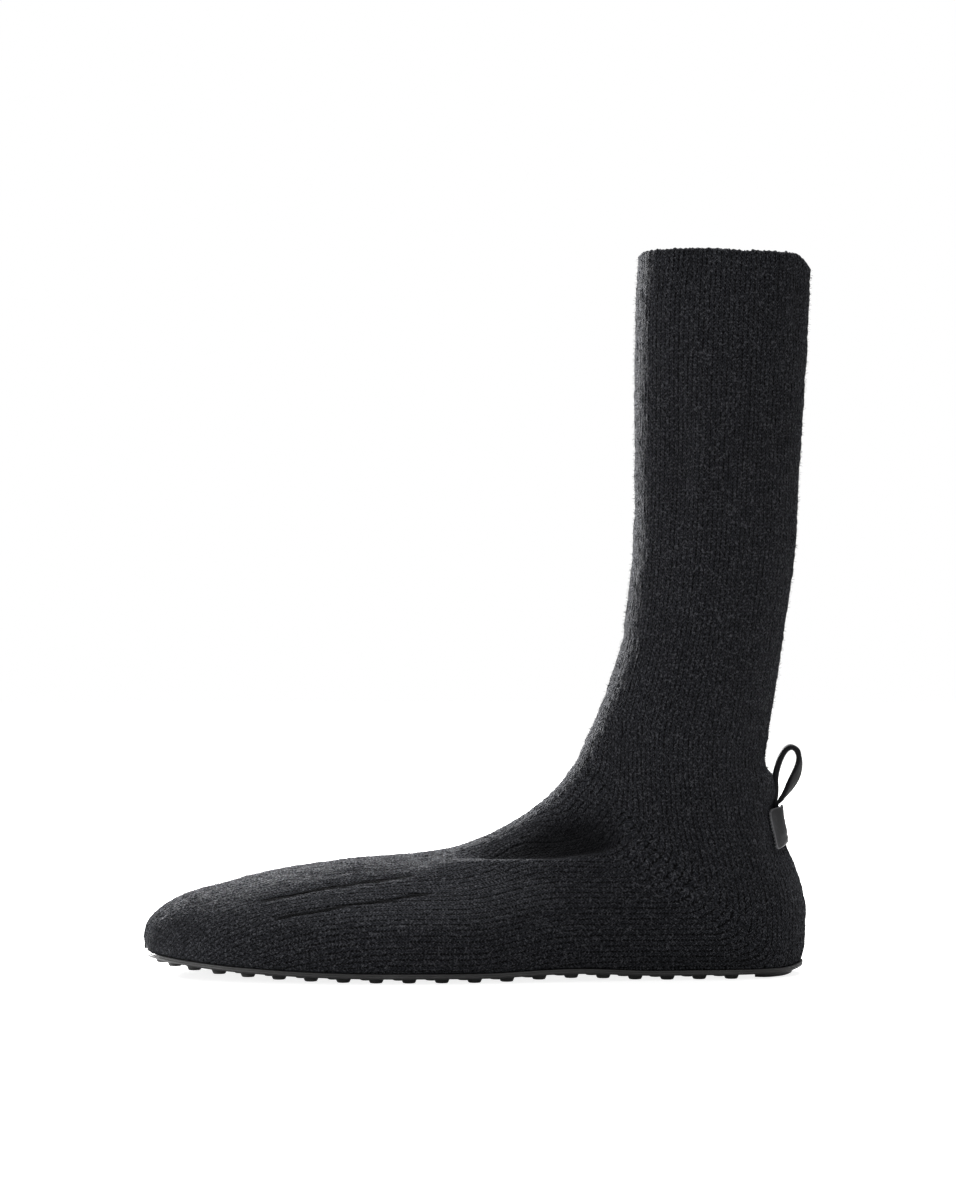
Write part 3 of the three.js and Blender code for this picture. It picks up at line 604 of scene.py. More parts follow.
def knit_material(settings):
    """Brushed wool: stitches by wale and course, flecks of lighter fibre, painted shade in the gaps, grooves
    and creases, painted highlights on the stitches' tops, and a soft sheen.
    """
    material, g, shader, place = new_material("brushed_wool_knit")
    counted = g.node("ShaderNodeUVMap", uv_map="Stitches").outputs["UV"]
    wander = g.node("ShaderNodeTexNoise", {"Vector": place, "Scale": 420.0, "Detail": 1.0}).outputs["Color"]
    for operation, inputs in (
        ("SUBTRACT", {1: (0.5, 0.5, 0.5)}), ("SCALE", {"Scale": settings.wander}), ("ADD", {1: counted}),
    ):
        wander = g.node("ShaderNodeVectorMath", {0: wander, **inputs}, operation=operation).outputs[0]
    count = g.node("ShaderNodeSeparateXYZ", {0: wander}).outputs
    stitches = g.group(stitch_group(), Wale=count[0], Course=count[1])
    fibres = g.group(fibre_group(), Place=place, Scale=settings.fibre_scale)
    yarn = settings.yarn
    colour = g.mix(fibres["Patch"], shade(yarn, 0.8), shade(yarn, 1.2))
    low = g.math("SUBTRACT", 1.0, g.ramp(stitches["Height"], 0.15, 0.6))
    for share, tint in (
        (g.math("MULTIPLY", stitches["Tone"], 0.7), shade(yarn, 1.8)),
        # Painted shade: the gaps between the stitches darkened.
        (g.math("MULTIPLY", low, settings.relief), shade(yarn, 0.06)),
        # Painted highlight: the tops of the stitches lightened.
        (g.math("MULTIPLY", g.ramp(stitches["Height"], 0.55, 0.9), 0.5), shade(yarn, 3.6)),
        # Painted shade: the deeper grooves between the panels of wales darkened.
        (g.math("MULTIPLY", stitches["Deep"], 0.3), shade(yarn, 0.2)),
        (g.math("MULTIPLY", fibres["Fleck"], settings.fleck_share), tuple(settings.fleck)),
        # Painted shade: the knit darkened in its creases, by how deep they sink.
        (g.math("MULTIPLY", g.ramp(g.attribute("Fold"), 0.4, 4.8), 0.85), shade(yarn, 0.25)),
        # Painted shade: a thin dark line along the crisp creases.
        (g.ramp(g.attribute("Line"), 0.15, 0.6), shade(yarn, 0.08)),
    ):
        colour = g.mix(share, colour, tint)
    height, deep, fine = (
        g.math("MULTIPLY", value, share)
        for value, share in ((stitches["Height"], 0.7), (stitches["Deep"], 0.35), (fibres["Height"], 0.9))
    )
    relief = g.math("ADD", g.math("SUBTRACT", height, deep), fine)
    g.send(shader, Base_Color=colour, Normal=g.bump(relief, 1.0, 0.0016), Roughness=0.95,
           Specular_IOR_Level=0.1, Sheen_Weight=settings.sheen, Sheen_Roughness=0.4,
           Sheen_Tint=(0.86, 0.87, 0.95, 1))
    return material


def hair_material(settings):
    """Loose wool fibres, a little paler than the yarn."""
    material, g, shader, place = new_material("wool_fibres")
    tone = g.ramp(g.noise(place, 900.0, 1.0), 0.35, 0.75)
    g.send(shader, Base_Color=g.mix(tone, shade(settings.yarn, 0.7), shade(settings.fleck, 0.5)),
           Roughness=0.8, Specular_IOR_Level=0.15, Sheen_Weight=settings.sheen, Sheen_Roughness=0.5)
    return material


def leather_material(name, colour, gloss, scale, shine=0.35):
    """Smooth black leather: a fine grain, a clear finish, slightly rubbed high spots and painted highlights
    along the edges.
    """
    material, g, shader, place = new_material(name)
    grain = g.group(grain_group(), Place=place, Scale=scale)
    worn = g.mix(grain["Wear"], tuple(colour), shade(colour, 1.6))
    # Painted highlight: the marked edges lightened.
    edge = g.math("MULTIPLY", g.attribute("Edge"), 0.6)
    g.send(shader, Base_Color=g.mix(edge, worn, shade(colour, 7)), Normal=g.bump(grain["Height"], 0.3, 0.0002),
           Roughness=g.ramp(grain["Wear"], 0, 1, gloss, gloss + 0.12), Specular_IOR_Level=shine,
           Coat_Weight=0.3 * shine, Coat_Roughness=0.25)
    return material


def rubber_material(settings):
    """Moulded rubber: satin, with a fine texture from the mould and a paler, dusty film in patches."""
    material, g, shader, place = new_material("sole_rubber")
    film = g.ramp(g.noise(place, 70.0, 4.0, 0.6), 0.45, 0.75)
    rubber = tuple(settings.rubber)
    mould = g.bump(g.noise(place, 2600.0, 2.0, 0.6), 0.25, 0.0001)
    g.send(shader, Base_Color=g.mix(film, rubber, shade(rubber, 1.5)), Specular_IOR_Level=0.5,
           Roughness=g.ramp(film, 0, 1, 0.38, 0.52), Normal=mould)
    return material


def footbed_material(settings):
    """Matt lining leather on the footbed, a little uneven in colour."""
    material, g, shader, place = new_material("footbed_leather")
    grain = g.group(grain_group(), Place=place, Scale=900.0)
    soft = g.ramp(g.noise(place, 30.0), 0.35, 0.65)
    g.send(shader, Base_Color=g.mix(soft, shade(settings.footbed, 0.85), shade(settings.footbed, 1.15)),
           Normal=g.bump(grain["Height"], 0.4, 0.0003), Roughness=0.75, Specular_IOR_Level=0.3)
    return material


def knit_net(settings):
    """The fine net of the knit: its points, the places of its rows, and which rows join up behind the heel."""
    places = np.concatenate((
        even_rows(0.0, HEEL_CLOSING, settings.row_step),
        even_rows(HEEL_CLOSING, float(LAST_SECTION), settings.row_step)[1:],
    ))
    counts = settings.outer_columns * settings.inside_stride, settings.inner_columns * settings.inside_stride
    net = np.array([knit_row(t, *counts) for t in places]) + SHIFT
    return net, places, places >= HEEL_CLOSING


def rounder_max(a, b, reach):
    """The larger of two values, with a soft turn where they are within a reach of each other."""
    near = np.maximum(reach - np.abs(a - b), 0) / reach
    return np.maximum(a, b) + near * near * reach / 4


def mixed(a, b, share):
    """A value between two others."""
    return a + (b - a) * share


def arc_from_front(net, front):
    """Distance of each point of a net from its front line, along its row."""
    steps = np.linalg.norm(np.diff(net, axis=1), axis=2)
    outer = np.cumsum(steps[:, front - 1::-1], axis=1)[:, ::-1]
    inner = np.cumsum(steps[:, front:], axis=1)
    return np.hstack((outer, np.zeros((len(net), 1)), inner))


def count_stitches(net, arc, places, settings):
    """Wale counts of the net, and course counts for the foot and for the leg. On the foot the wales lie an even
    distance apart from the top down; on the leg they share its girth; at the heel the two meet in a mitre."""
    front = settings.outer_columns * settings.inside_stride
    girth = np.where(np.arange(net.shape[1]) < front, arc[:, :1], arc[:, -1:])
    t = places[:, None]
    x, z = net[..., 0] - SHIFT[0], net[..., 2]

    edge = spread_side(FOOT_END, -1, FINE)
    level = np.interp(z, edge[::-1, 2], lengths_along(edge)[::-1]) - np.maximum(z - edge[0, 2], 0)
    down = mixed(arc, level, smooth(FOOT_ROW, FOOT_END, t)) / settings.wale_width

    ring = spread_side(LEG_RING, -1, FINE)
    ring_share = (ring[:, 0] - ring[0, 0]) / (ring[-1, 0] - ring[0, 0])
    heel = section(np.linspace(HEEL_CLOSING, LEG_ROW, 80))
    behind = np.interp(z, heel["back_z"], heel["back_x"])
    share = (x - ring[0, 0]) / (behind - ring[0, 0])
    half = settings.wales / 2
    upright = half * np.interp(share, ring_share, np.linspace(0, 1, len(ring)))
    upright += np.minimum(x - ring[0, 0], 0) / WALE_IN_FRONT
    around = half * arc / np.maximum(girth, 1e-6)
    back = mixed(upright, around, smooth(LEG_START, LEG_ROW, t))

    mitred = rounder_max(down, back, mixed(*MITRE_REACH, smooth(*MITRE_WALES, np.maximum(down, back))))
    pitch = mixed(settings.wale_width, girth / half, smooth(FOOT_END, LEG_RING, t))
    evenly = arc / pitch
    least = LEAST_SHARE * evenly - np.maximum(arc - LEAST_ARC, 0) / pitch
    wale = mixed(rounder_max(mitred, least, LEAST_REACH), evenly, 1 - smooth(*EVEN_ARC, arc))

    line = section(places)
    along = np.concatenate(([0], np.cumsum(np.hypot(np.diff(line["front_x"]), np.diff(line["front_z"])))))
    foot_rows = places <= FOOT_END
    foot_x, foot_along = line["front_x"][foot_rows], along[foot_rows]
    flat = np.interp(x, foot_x, foot_along) + np.maximum(x - foot_x[-1], 0)
    leg_row = int(np.argmin(np.abs(places - LEG_ROW)))
    tall = along[leg_row] + z - line["front_z"][leg_row]
    own = along[:, None] * np.ones_like(x)
    near_front = 1 - smooth(*COURSE_ARC, arc)
    foot_course = mixed(flat, own, near_front) / settings.course
    leg_course = mixed(tall, own, near_front) / settings.course
    side = np.where(np.arange(net.shape[1]) < front, -1, 1)
    return wale * side, foot_course, leg_course, down - back > 0


# The knit's unevenness: how high in mm, how long its waves are in mm, and the seed.
LUMPS = ((0.26, 42, 5), (0.14, 15, 8), (0.08, 6, 9))

# The knit is a little fuller low round the toe, and stands prouder along the front line, less so on the leg.
# The rows are places in the table of sections, the rest is in millimetres.
TOE_FULL, TOE_ROWS, TOE_HEIGHTS = 0.9, (1.0, 3.5), (4, 14)
PROUD, LESS_ON_LEG, PROUD_ARC = 0.75, 0.35, (12, 34)
INSIDE_RELIEF = 0.6

# The collar's edge: how far it ends above its even line, how much more in front of two places, and how far it
# drops at its back and at its very front, all in millimetres; then its turn over the knit's thickness.
COLLAR_UP, COLLAR_WAVE, COLLAR_NOISE = 0.6, 0.25, 0.22
COLLAR_MORE, COLLAR_MORE_PLACES = 1.2, (88, 104)
COLLAR_DROP, COLLAR_BACK = 5.2, (121, 131)
COLLAR_DIP, COLLAR_FRONT = 1.4, (62, 65)
CREST_SHARES = (0.2, 0.5, 0.8)
RIM_COURSES = 0.45


def knit_relief(net, arc, places, settings, rng):
    """How far the knit's outside stands off its even net, with its creases' depths and their thin lines of
    painted shade.
    """
    lumps = sum(height * unevenness(net, wave, seed) for height, wave, seed in LUMPS)
    lumps = lumps + settings.lumps * rng.normal(size=arc.shape)
    sunk, thin = crease_depth(net, arc)
    rise = net[..., 2] - feather_height(net[..., 0] - SHIFT[0])
    toe_rows = (1 - smooth(*TOE_ROWS, places))[:, None]
    full_toe = TOE_FULL * toe_rows * smooth(-0.5, 1.5, rise) * (1 - smooth(*TOE_HEIGHTS, rise))
    proud = (PROUD - LESS_ON_LEG * smooth(8, 12, places))[:, None] * (1 - smooth(*PROUD_ARC, arc))
    relief = (lumps - sunk + proud) * smooth(0, 6, rise) + full_toe
    relief[0] = 0
    return relief, sunk, thin


def collar_heights(rim, rng):
    """How far the collar's edge ends above its even line: more in its front half, less at either end."""
    x = rim[:, 0]
    return (
        COLLAR_WAVE * unevenness(rim, 30, 11) + COLLAR_UP + COLLAR_MORE * (1 - smooth(*COLLAR_MORE_PLACES, x))
        + COLLAR_NOISE * rng.normal(size=len(rim))
        - COLLAR_DROP * smooth(*COLLAR_BACK, x) ** 1.5 - COLLAR_DIP * (1 - smooth(*COLLAR_FRONT, x)) ** 2
    )


def end_at_sole(net, open_rows):
    """Lets the open rows of a net end at the knit's lower edge."""
    for r in np.flatnonzero(open_rows):
        for c in (0, -1):
            net[r, c, 2] = float(feather_height(net[r, c, 0] - SHIFT[0]))


def collar_crest(edge, normals):
    """Rows of points that turn the knit over at the collar, from its outer edge to its inner one."""
    inner = edge - normals * KNIT_WALL
    crest = []
    for share in CREST_SHARES:
        ring = edge * (1 - share) + inner * share
        ring[:, 2] = edge[:, 2] + COLLAR_ROUNDING * math.sin(math.pi * share) ** 0.7
        crest.append(ring)
    inner[:, 2] = edge[:, 2] - 0.1
    return np.array([*crest, inner])


def net_numbers(first, points, closed):
    """Vertex numbers for a net, with its pole and the joined ends of its closed rows counted once."""
    index = first + np.arange(points.shape[0] * points.shape[1]).reshape(points.shape[:2])
    index[0] = index[0, 0]
    index[closed, -1] = index[closed, 0]
    return index


def knit_faces(out_index, in_index, rim_index, closed, stitches):
    """The faces of the knit and the stitch count at each of their corners: outside, inside, the turn at the
    collar, and the edge along the sole."""
    wale, foot_course, leg_course, is_foot = stitches
    rows, count = out_index.shape
    stride = (count - 1) // (in_index.shape[1] - 1)
    foot_uv = np.stack((wale, foot_course), axis=-1).tolist()
    leg_uv = np.stack((wale, leg_course), axis=-1).tolist()
    faces, uvs = [], []

    def quad(corners, spots, order=(0, 1, 2, 3)):
        kept = [k for i, k in enumerate(order) if corners[k] != corners[order[i - 1]]]
        if len(kept) > 2:
            faces.append([corners[k] for k in kept])
            uvs.extend(spots[k] for k in kept)

    for index, step, order in ((out_index, 1, (0, 1, 2, 3)), (in_index, stride, (0, 3, 2, 1))):
        for r in range(rows - 1):
            low, high = index[r].tolist(), index[r + 1].tolist()
            for c in range(len(low) - 1):
                a, b = c * step, (c + 1) * step
                uv = foot_uv if is_foot[r, a] else leg_uv
                corners = (low[c], high[c], high[c + 1], low[c + 1])
                quad(corners, (uv[r][a], uv[r + 1][a], uv[r + 1][b], uv[r][b]), order)

    w, top = wale[-1], leg_course[-1][0]
    rims = [out_index[-1], *rim_index]
    for k, (low, high) in enumerate(zip(rims, rims[1:])):
        v, over = top + k * RIM_COURSES, top + (k + 1) * RIM_COURSES
        for c in range(count - 1):
            corners = (low[c], high[c], high[c + 1], low[c + 1])
            quad(corners, ((w[c], v), (w[c], over), (w[c + 1], over), (w[c + 1], v)))
    for c in range(in_index.shape[1] - 1):
        a, b = c * stride, (c + 1) * stride
        faces.append([*rim_index[-1][a:b + 1][::-1], in_index[-1][c], in_index[-1][c + 1]])
        uvs.extend([*((w[k], top + 2) for k in range(b, a - 1, -1)), (w[a], top + 3), (w[b], top + 3)])
    for r in range(int(np.argmax(closed))):
        for c, order in ((0, 1), (-1, -1)):
            corners = (out_index[r][c], in_index[r][c], in_index[r + 1][c], out_index[r + 1][c])
            u, v, over = wale[r][c], foot_course[r][c], foot_course[r + 1][c]
            quad(corners[::order], ((u, v), (u + 1, v), (u + 1, over), (u, over))[::order])
    return faces, uvs


def make_upper(settings):
    """The knit: its outside, its inside, and its rims at the collar and along the sole, as one closed mesh."""
    net, places, closed = knit_net(settings)
    stride = settings.inside_stride
    normals = net_normals(net, closed)
    arc = arc_from_front(net, settings.outer_columns * stride)
    rng = np.random.default_rng(4)
    relief, sunk, thin = knit_relief(net, arc, places, settings, rng)
    outside = net + normals * relief[..., None]
    top_share = smooth(LAST_SECTION - 0.7, LAST_SECTION, places)[:, None]
    heights = collar_heights(outside[-1], rng)
    outside[..., 2] += top_share * heights
    end_at_sole(outside, ~closed)
    outside[0] = net[0]

    depth = INSIDE_RELIEF * relief[:, ::stride] - KNIT_WALL
    inside = net[:, ::stride] + normals[:, ::stride] * depth[..., None]
    inside[0] = net[0, ::stride] + (KNIT_WALL, 0, 0)
    inside[..., 2] += top_share * heights[::stride]
    inside[-1, :, 2] = outside[-1, ::stride, 2]
    end_at_sole(inside, places <= HEEL_CLOSING)
    crest = collar_crest(outside[-1], normals[-1])

    out_index = net_numbers(0, outside, closed)
    in_index = net_numbers(outside.size // 3, inside, closed)
    rim_index = in_index.max() + 1 + np.arange(crest.size // 3).reshape(crest.shape[:2])
    rim_index[:, -1] = rim_index[:, 0]
    stitches = count_stitches(net, arc, places, settings)
    faces, uvs = knit_faces(out_index, in_index, rim_index, closed, stitches)

    points = np.vstack([part.reshape(-1, 3) for part in (outside, inside, crest)])
    used = np.unique(np.concatenate(faces))
    renumbered = {old: new for new, old in enumerate(used.tolist())}
    mesh = mesh_from("upper_knit", points[used], [[renumbered[v] for v in face] for face in faces])
    layer = mesh.uv_layers.new(name="Stitches")
    layer.data.foreach_set("uv", np.array(uvs, np.float32).ravel())
    # The creases' depths and their thin lines are kept for the knit's material, which darkens the knit by them
    # as painted shade.
    for name, values in (("Fold", sunk), ("Line", thin)):
        marks = np.zeros(len(points))
        marks[:values.size] = values.ravel()
        mark_points(mesh, name, marks[used])
    upper = new_object("upper_knit", mesh, knit_material(settings))
    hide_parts("upper")
    return outside


# Loose fibres: every how many rows of the knit give one to the ground that they stand on, their spin, and the
# shortest of them as a share of the longest.
FUZZ_ROWS = 3
FULL_TURN = 6.28
SHORTEST_FIBRE = 0.35


def instance_tree(name, inputs, build):
    """A geometry node tree that makes the copies that build puts on points real and gives them a material. Its
    inputs are its geometry, those named in inputs, and the material."""
    kinds = {"Geometry": ("NodeSocketGeometry", None), **inputs, "Material": ("NodeSocketMaterial", None)}
    g, given, out = node_tree(name, "GeometryNodeTree", kinds, {"Geometry": "NodeSocketGeometry"})
    real = g.node("GeometryNodeRealizeInstances", {"Geometry": build(g, given)})
    final = g.node("GeometryNodeSetMaterial", {"Geometry": real.outputs[0], "Material": given["Material"]})
    g.send(out, Geometry=final.outputs[0])
    return g.tree


def copies(g, points, copied, **inputs):
    """Nodes that put a copy of an object on each of some points."""
    shape = g.node("GeometryNodeObjectInfo", {"Object": copied}).outputs["Geometry"]
    return g.node("GeometryNodeInstanceOnPoints", {"Points": points, "Instance": shape, **inputs}).outputs[0]


def grown(name, source_mesh, tree, values):
    """Runs a geometry node tree on a mesh and keeps the result as a plain piece."""
    helper = add_object(name + "_source", source_mesh)
    modifier = helper.modifiers.new("grow", "NODES")
    modifier.node_group = tree
    for item in tree.interface.items_tree:
        if item.item_type == "SOCKET" and item.in_out == "INPUT" and item.name in values:
            modifier[item.identifier] = values[item.name]
    bpy.context.view_layer.update()
    evaluated = helper.evaluated_get(bpy.context.evaluated_depsgraph_get())
    mesh = bpy.data.meshes.new_from_object(evaluated)
    mesh.name = name
    bpy.data.objects.remove(helper)
    return new_object(name, mesh)


def fibre_mesh(settings):
    """One loose fibre: a thin bent ribbon standing on its root, a unit long."""
    points = []
    for turn in (0.0, 0.5, 1.0):
        half = settings.fibre_width / 2 * (1 - 0.6 * turn)
        x, z = 0.42 * turn ** 2, turn * (1 - 0.25 * turn)
        points += [(x, -half, z), (x, half, z)]
    return plain_mesh("fibre", points, [(0, 1, 3, 2), (2, 3, 5, 4)])


def make_fuzz(settings, outside):
    """The haze of loose fibres over the outside of the knit."""
    rows = sorted({*range(0, len(outside), FUZZ_ROWS), len(outside) - 1})
    ground = outside[rows][:, ::settings.inside_stride]
    index = np.arange(ground.shape[0] * ground.shape[1]).reshape(ground.shape[:2])
    faces = [[a, d, c, b] for a, b, c, d in strips(index.tolist())]
    mesh = mesh_from("fuzz_ground", ground.reshape(-1, 3), faces)
    fibre = add_object("fibre", fibre_mesh(settings))

    def chance(g, low, high, seed):
        """A random number for each fibre."""
        inputs = {2: low, 3: high, "Seed": seed}
        return g.node("FunctionNodeRandomValue", inputs, data_type="FLOAT").outputs[1]

    def build(g, given):
        inputs = {"Mesh": given["Geometry"], "Density": given["Density"], "Seed": given["Seed"]}
        spots = g.node("GeometryNodeDistributePointsOnFaces", inputs).outputs
        ends = {"Min": (-1.0,) * 3, "Max": (1.0,) * 3, "Seed": 3}
        lean = g.node("FunctionNodeRandomValue", ends, data_type="FLOAT_VECTOR").outputs[0]
        tilt = g.node("ShaderNodeVectorMath", {0: lean, "Scale": given["Lean"]}, operation="SCALE").outputs[0]
        heading = g.node("ShaderNodeVectorMath", {0: spots["Normal"], 1: tilt}, operation="ADD").outputs[0]
        turned = g.node("FunctionNodeAlignRotationToVector", {"Vector": heading}, axis="Z").outputs[0]
        spin = {"Axis": (0, 0, 1), "Angle": chance(g, 0.0, FULL_TURN, 7)}
        spun = g.node(
            "FunctionNodeRotateRotation",
            {"Rotation": turned, "Rotate By": g.node("FunctionNodeAxisAngleToRotation", spin).outputs[0]},
            rotation_space="LOCAL",
        )
        size = g.math("MULTIPLY", chance(g, SHORTEST_FIBRE, 1.0, 11), given["Length"])
        return copies(g, spots["Points"], given["Fibre"], Rotation=spun.outputs[0], Scale=size)

    tree = instance_tree("Loose fibres", {
        "Density": ("NodeSocketFloat", 1.0), "Seed": ("NodeSocketInt", 1), "Lean": ("NodeSocketFloat", 0.8),
        "Length": ("NodeSocketFloat", 0.001), "Fibre": ("NodeSocketObject", None),
    }, build)
    grown("knit_fuzz", mesh, tree, {
        "Density": settings.fibre_density * 1e6, "Seed": 21, "Lean": 1.1, "Length": settings.fibre_length,
        "Fibre": fibre, "Material": hair_material(settings),
    })
    bpy.data.objects.remove(fibre)


# How deep a stud's root goes into the plate, how deep its dimple is, and how much nearer to the edge than its
# ring a stud may stand.
STUD_ROOT, STUD_DIMPLE, STUD_SLACK = 0.5, 0.25, 0.6

# The heel pad's edge as (inset, height over the studs' ends), from its root to its end, and over how many
# steps of the outline it is drawn in.
PAD_EDGE = ((0, 2.2), (0, 0.5), (0.15, 0.18), (0.5, 0.0))
PAD_END_STEPS = 3

# The footbed's hollows under heel and ball, as (place along the foot, half length, half width, depth).
FOOTBED_THICK, FOOTBED_CLEAR = 2.5, 1.5
FOOTBED_HOLLOWS = ((-4, 26, 19, 0.7), (-118, 30, 26, 0.5))


def moved_out(loop, offset):
    """A closed flat outline moved outwards by an offset, or inwards where that is negative."""
    along = np.roll(loop, -1, axis=0) - np.roll(loop, 1, axis=0)
    along /= np.linalg.norm(along, axis=1, keepdims=True)
    return loop + offset * np.stack((along[:, 1], -along[:, 0]), axis=1)


def foot_outline(inside, count=96):
    """The outline at the end of the knit, on its outside or inside: back along the outer side, then forward."""
    places = even_rows(0.0, HEEL_CLOSING, LENGTH / count)
    rows = np.array([knit_row(t, 24, 24) for t in places])
    if inside:
        rows = rows - net_normals(rows, places >= HEEL_CLOSING) * KNIT_WALL
        rows[0, :, 0] = HEEL_BACK - LENGTH + KNIT_WALL
    outer, inner = rows[:, 0, :2], rows[1:-1, -1, :2]
    return np.vstack((outer, inner[::-1])) + SHIFT[:2]


def slab(name, loop, profile, across=9):
    """A slab over an outline. profile lists (inset, height function) from the middle of the underside, round
    the edge, to the middle of the top."""
    rings = [moved_out(loop, -inset) for inset, _ in profile]
    points, ring_index = [], []
    for ring, (_, height) in zip(rings, profile):
        ring_index.append([len(points) + i for i in range(len(ring))])
        points += [(x, y, float(height(x - SHIFT[0], y))) for x, y in ring]
    faces = strips(ring_index, closed=True)
    turn = len(loop) // 2
    for end in (0, -1):
        ring, index, height = rings[end], ring_index[end], profile[end][1]
        rows = []
        for i in range(turn + 1):
            partner = (len(loop) - i) % len(loop)
            a, b = ring[i], ring[partner]
            row = [index[i]]
            if partner != i:
                for k in range(1, across):
                    x, y = a + (b - a) * k / across
                    row.append(len(points))
                    points.append((x, y, float(height(x - SHIFT[0], y))))
                row.append(index[partner])
            else:
                row = [index[i]] * (across + 1)
            rows.append(row)
        faces += strips(rows)
    return cleaned(mesh_from(name, points, faces))


def stud_places(loop, settings):
    """The studs, in rings that follow the edge of the sole from outside inwards, wherever a ring has room."""
    turn = len(loop) // 2
    places = []
    for ring in range(settings.rings):
        inset = settings.stud_inset + ring * settings.ring_pitch
        inner_loop = moved_out(loop, -inset)
        for half in (inner_loop[:turn + 1], np.vstack((inner_loop[turn:], inner_loop[:1]))[::-1]):
            start = (settings.stud_start + ring / 2) % 1
            count = int(lengths_along(half)[-1] // settings.stud_pitch)
            for spot in at_distances(half, (np.arange(count) + start) * settings.stud_pitch):
                edge = np.min(np.linalg.norm(loop - spot, axis=1))
                over_pad = ring == 0 and spot[0] - SHIFT[0] > settings.pad_front - settings.stud_pitch / 2
                clear = all(np.linalg.norm(spot - p) > settings.studs_apart for p in places)
                if edge > inset - STUD_SLACK and not over_pad and clear:
                    places.append(spot)
    return places


def stud_mesh(settings):
    """One stud: a short cone with a rounded foot and a shallow dimple in its end, its root in the plate."""
    base, foot, sides = settings.stud_base, settings.stud_foot, 20
    profile = (
        (base + 0.25, STUD_ROOT), (base, 0.0), (foot + 0.32, -1.35), (foot + 0.1, -1.7),
        (foot - 0.2, -STUD_HEIGHT), (foot - 0.75, -STUD_HEIGHT), (foot - 1.0, -STUD_HEIGHT + 0.22),
    )
    points, rows = [(0, 0, STUD_ROOT)], [[0] * sides]
    for radius, height in profile:
        rows.append([len(points) + i for i in range(sides)])
        points += [(x, y, height) for x, y in circle(radius, sides)]
    points.append((0, 0, -STUD_HEIGHT + STUD_DIMPLE))
    rows.append([len(points) - 1] * sides)
    return cleaned(mesh_from("stud", points, strips(rows, closed=True)))


def make_plate(loop, material):
    """The sole's thin plate, with a rounded edge and a fine bead along it."""
    def low(rise):
        return lambda x, y: plate_under(x) + rise

    def high(drop):
        return lambda x, y: plate_top(x) - drop

    profile = (
        (2.2, low(0.0)), (0.9, low(0.0)), (0.35, low(0.14)), (0.08, low(0.42)), (0.0, low(0.75)),
        (0.0, low(1.05)), (0.16, low(1.16)), (0.16, low(1.26)), (0.02, low(1.36)), (0.0, low(1.6)),
        (0.12, high(0.14)), (0.4, high(0.0)), (1.2, high(0.0)),
    )
    plate = new_object("outsole_plate", slab("outsole_plate", loop, profile), material)
    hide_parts("outsole")


def make_heel_pad(loop, settings, material):
    """The curved pad round the back of the heel, drawn in at both ends."""
    near = moved_out(loop, -settings.pad_inset)
    keep = [i for i in range(len(loop)) if near[i][0] - SHIFT[0] > settings.pad_front]
    inwards = (near[keep[0]] + near[keep[-1]]) / 2 - near
    far = near + inwards / np.linalg.norm(inwards, axis=1, keepdims=True) * settings.pad_depth
    rows, points = [], []
    for place, i in enumerate(keep):
        from_end = min(place, len(keep) - 1 - place) / PAD_END_STEPS
        pinch = 0.5 * (1 - min(from_end, 1)) ** 2
        a, b = near[i] + (far[i] - near[i]) * pinch, far[i] + (near[i] - far[i]) * pinch
        width = max(float(np.linalg.norm(b - a)), 1e-6)
        rows.append([len(points) + k for k in range(2 * len(PAD_EDGE))])
        for start, end, edge in ((a, b, PAD_EDGE), (b, a, PAD_EDGE[::-1])):
            for inset, rise in edge:
                x, y = start + (end - start) * min(inset / width, 0.5)
                points.append((x, y, float(plate_under(x - SHIFT[0])) - STUD_HEIGHT + rise))
    faces = strips(rows, closed=True) + [rows[0][::-1], rows[-1]]
    mesh = cleaned(mesh_from("outsole_heel_pad", points, faces))
    new_object("outsole_heel_pad", mesh, material)


def make_studs(loop, settings, material):
    """The round studs under the plate."""
    spots = [(x, y, float(plate_under(x - SHIFT[0]))) for x, y in stud_places(loop, settings)]
    ground = plain_mesh("stud_places", np.array(spots) * MM)
    stud = add_object("stud", stud_mesh(settings))
    tree = instance_tree(
        "Studs", {"Stud": ("NodeSocketObject", None), "Size": ("NodeSocketFloat", 1.0)},
        lambda g, given: copies(g, given["Geometry"], given["Stud"], Scale=given["Size"]),
    )
    values = {"Stud": stud, "Size": 1.0, "Material": material}
    studs = grown("outsole_studs", ground, tree, values)
    smoothed(studs.data)
    bpy.data.objects.remove(stud)


def make_outsole(settings):
    """The sole: a plate a little wider than the knit, a heel pad and studs."""
    loop = moved_out(foot_outline(False), LIP)
    material = rubber_material(settings)
    make_plate(loop, material)
    make_heel_pad(loop, settings, material)
    make_studs(loop, settings, material)


def make_insole(settings):
    """The footbed: a thin slab with a turned edge, hollowed a little under the heel and the ball."""
    def hollow(x, y):
        return sum(
            depth * math.exp(-(((x - place) / long) ** 2) - ((y - SHIFT[1]) / wide) ** 2)
            for place, long, wide, depth in FOOTBED_HOLLOWS
        )

    def under(rise):
        return lambda x, y: plate_top(x) + GAP + rise

    def over(drop):
        return lambda x, y: plate_top(x) + GAP + FOOTBED_THICK - drop - hollow(x, y)

    profile = (
        (1.0, under(0.0)), (0.3, under(0.05)), (0.0, under(0.5)), (0.0, under(1.6)), (0.25, over(0.3)),
        (0.8, over(0.0)), (1.6, over(0.0)), (2.0, over(0.22)), (2.4, over(0.0)), (3.2, over(0.0)),
    )
    loop = moved_out(foot_outline(True), -FOOTBED_CLEAR)
    mesh = slab("footbed", loop, profile, across=16)
    insole = new_object("footbed", mesh, footbed_material(settings))
    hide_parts("insole")


def back_at(t):
    """The middle of the back of a section."""
    s = section(t)
    return np.stack((s["back_x"], s["middle"], s["back_z"]), axis=-1)


def back_at_height(z):
    """The middle of the back of the heel at a height."""
    return back_at(crossing(lambda t: z - back_at(t)[..., 2], *TAB_ROWS))


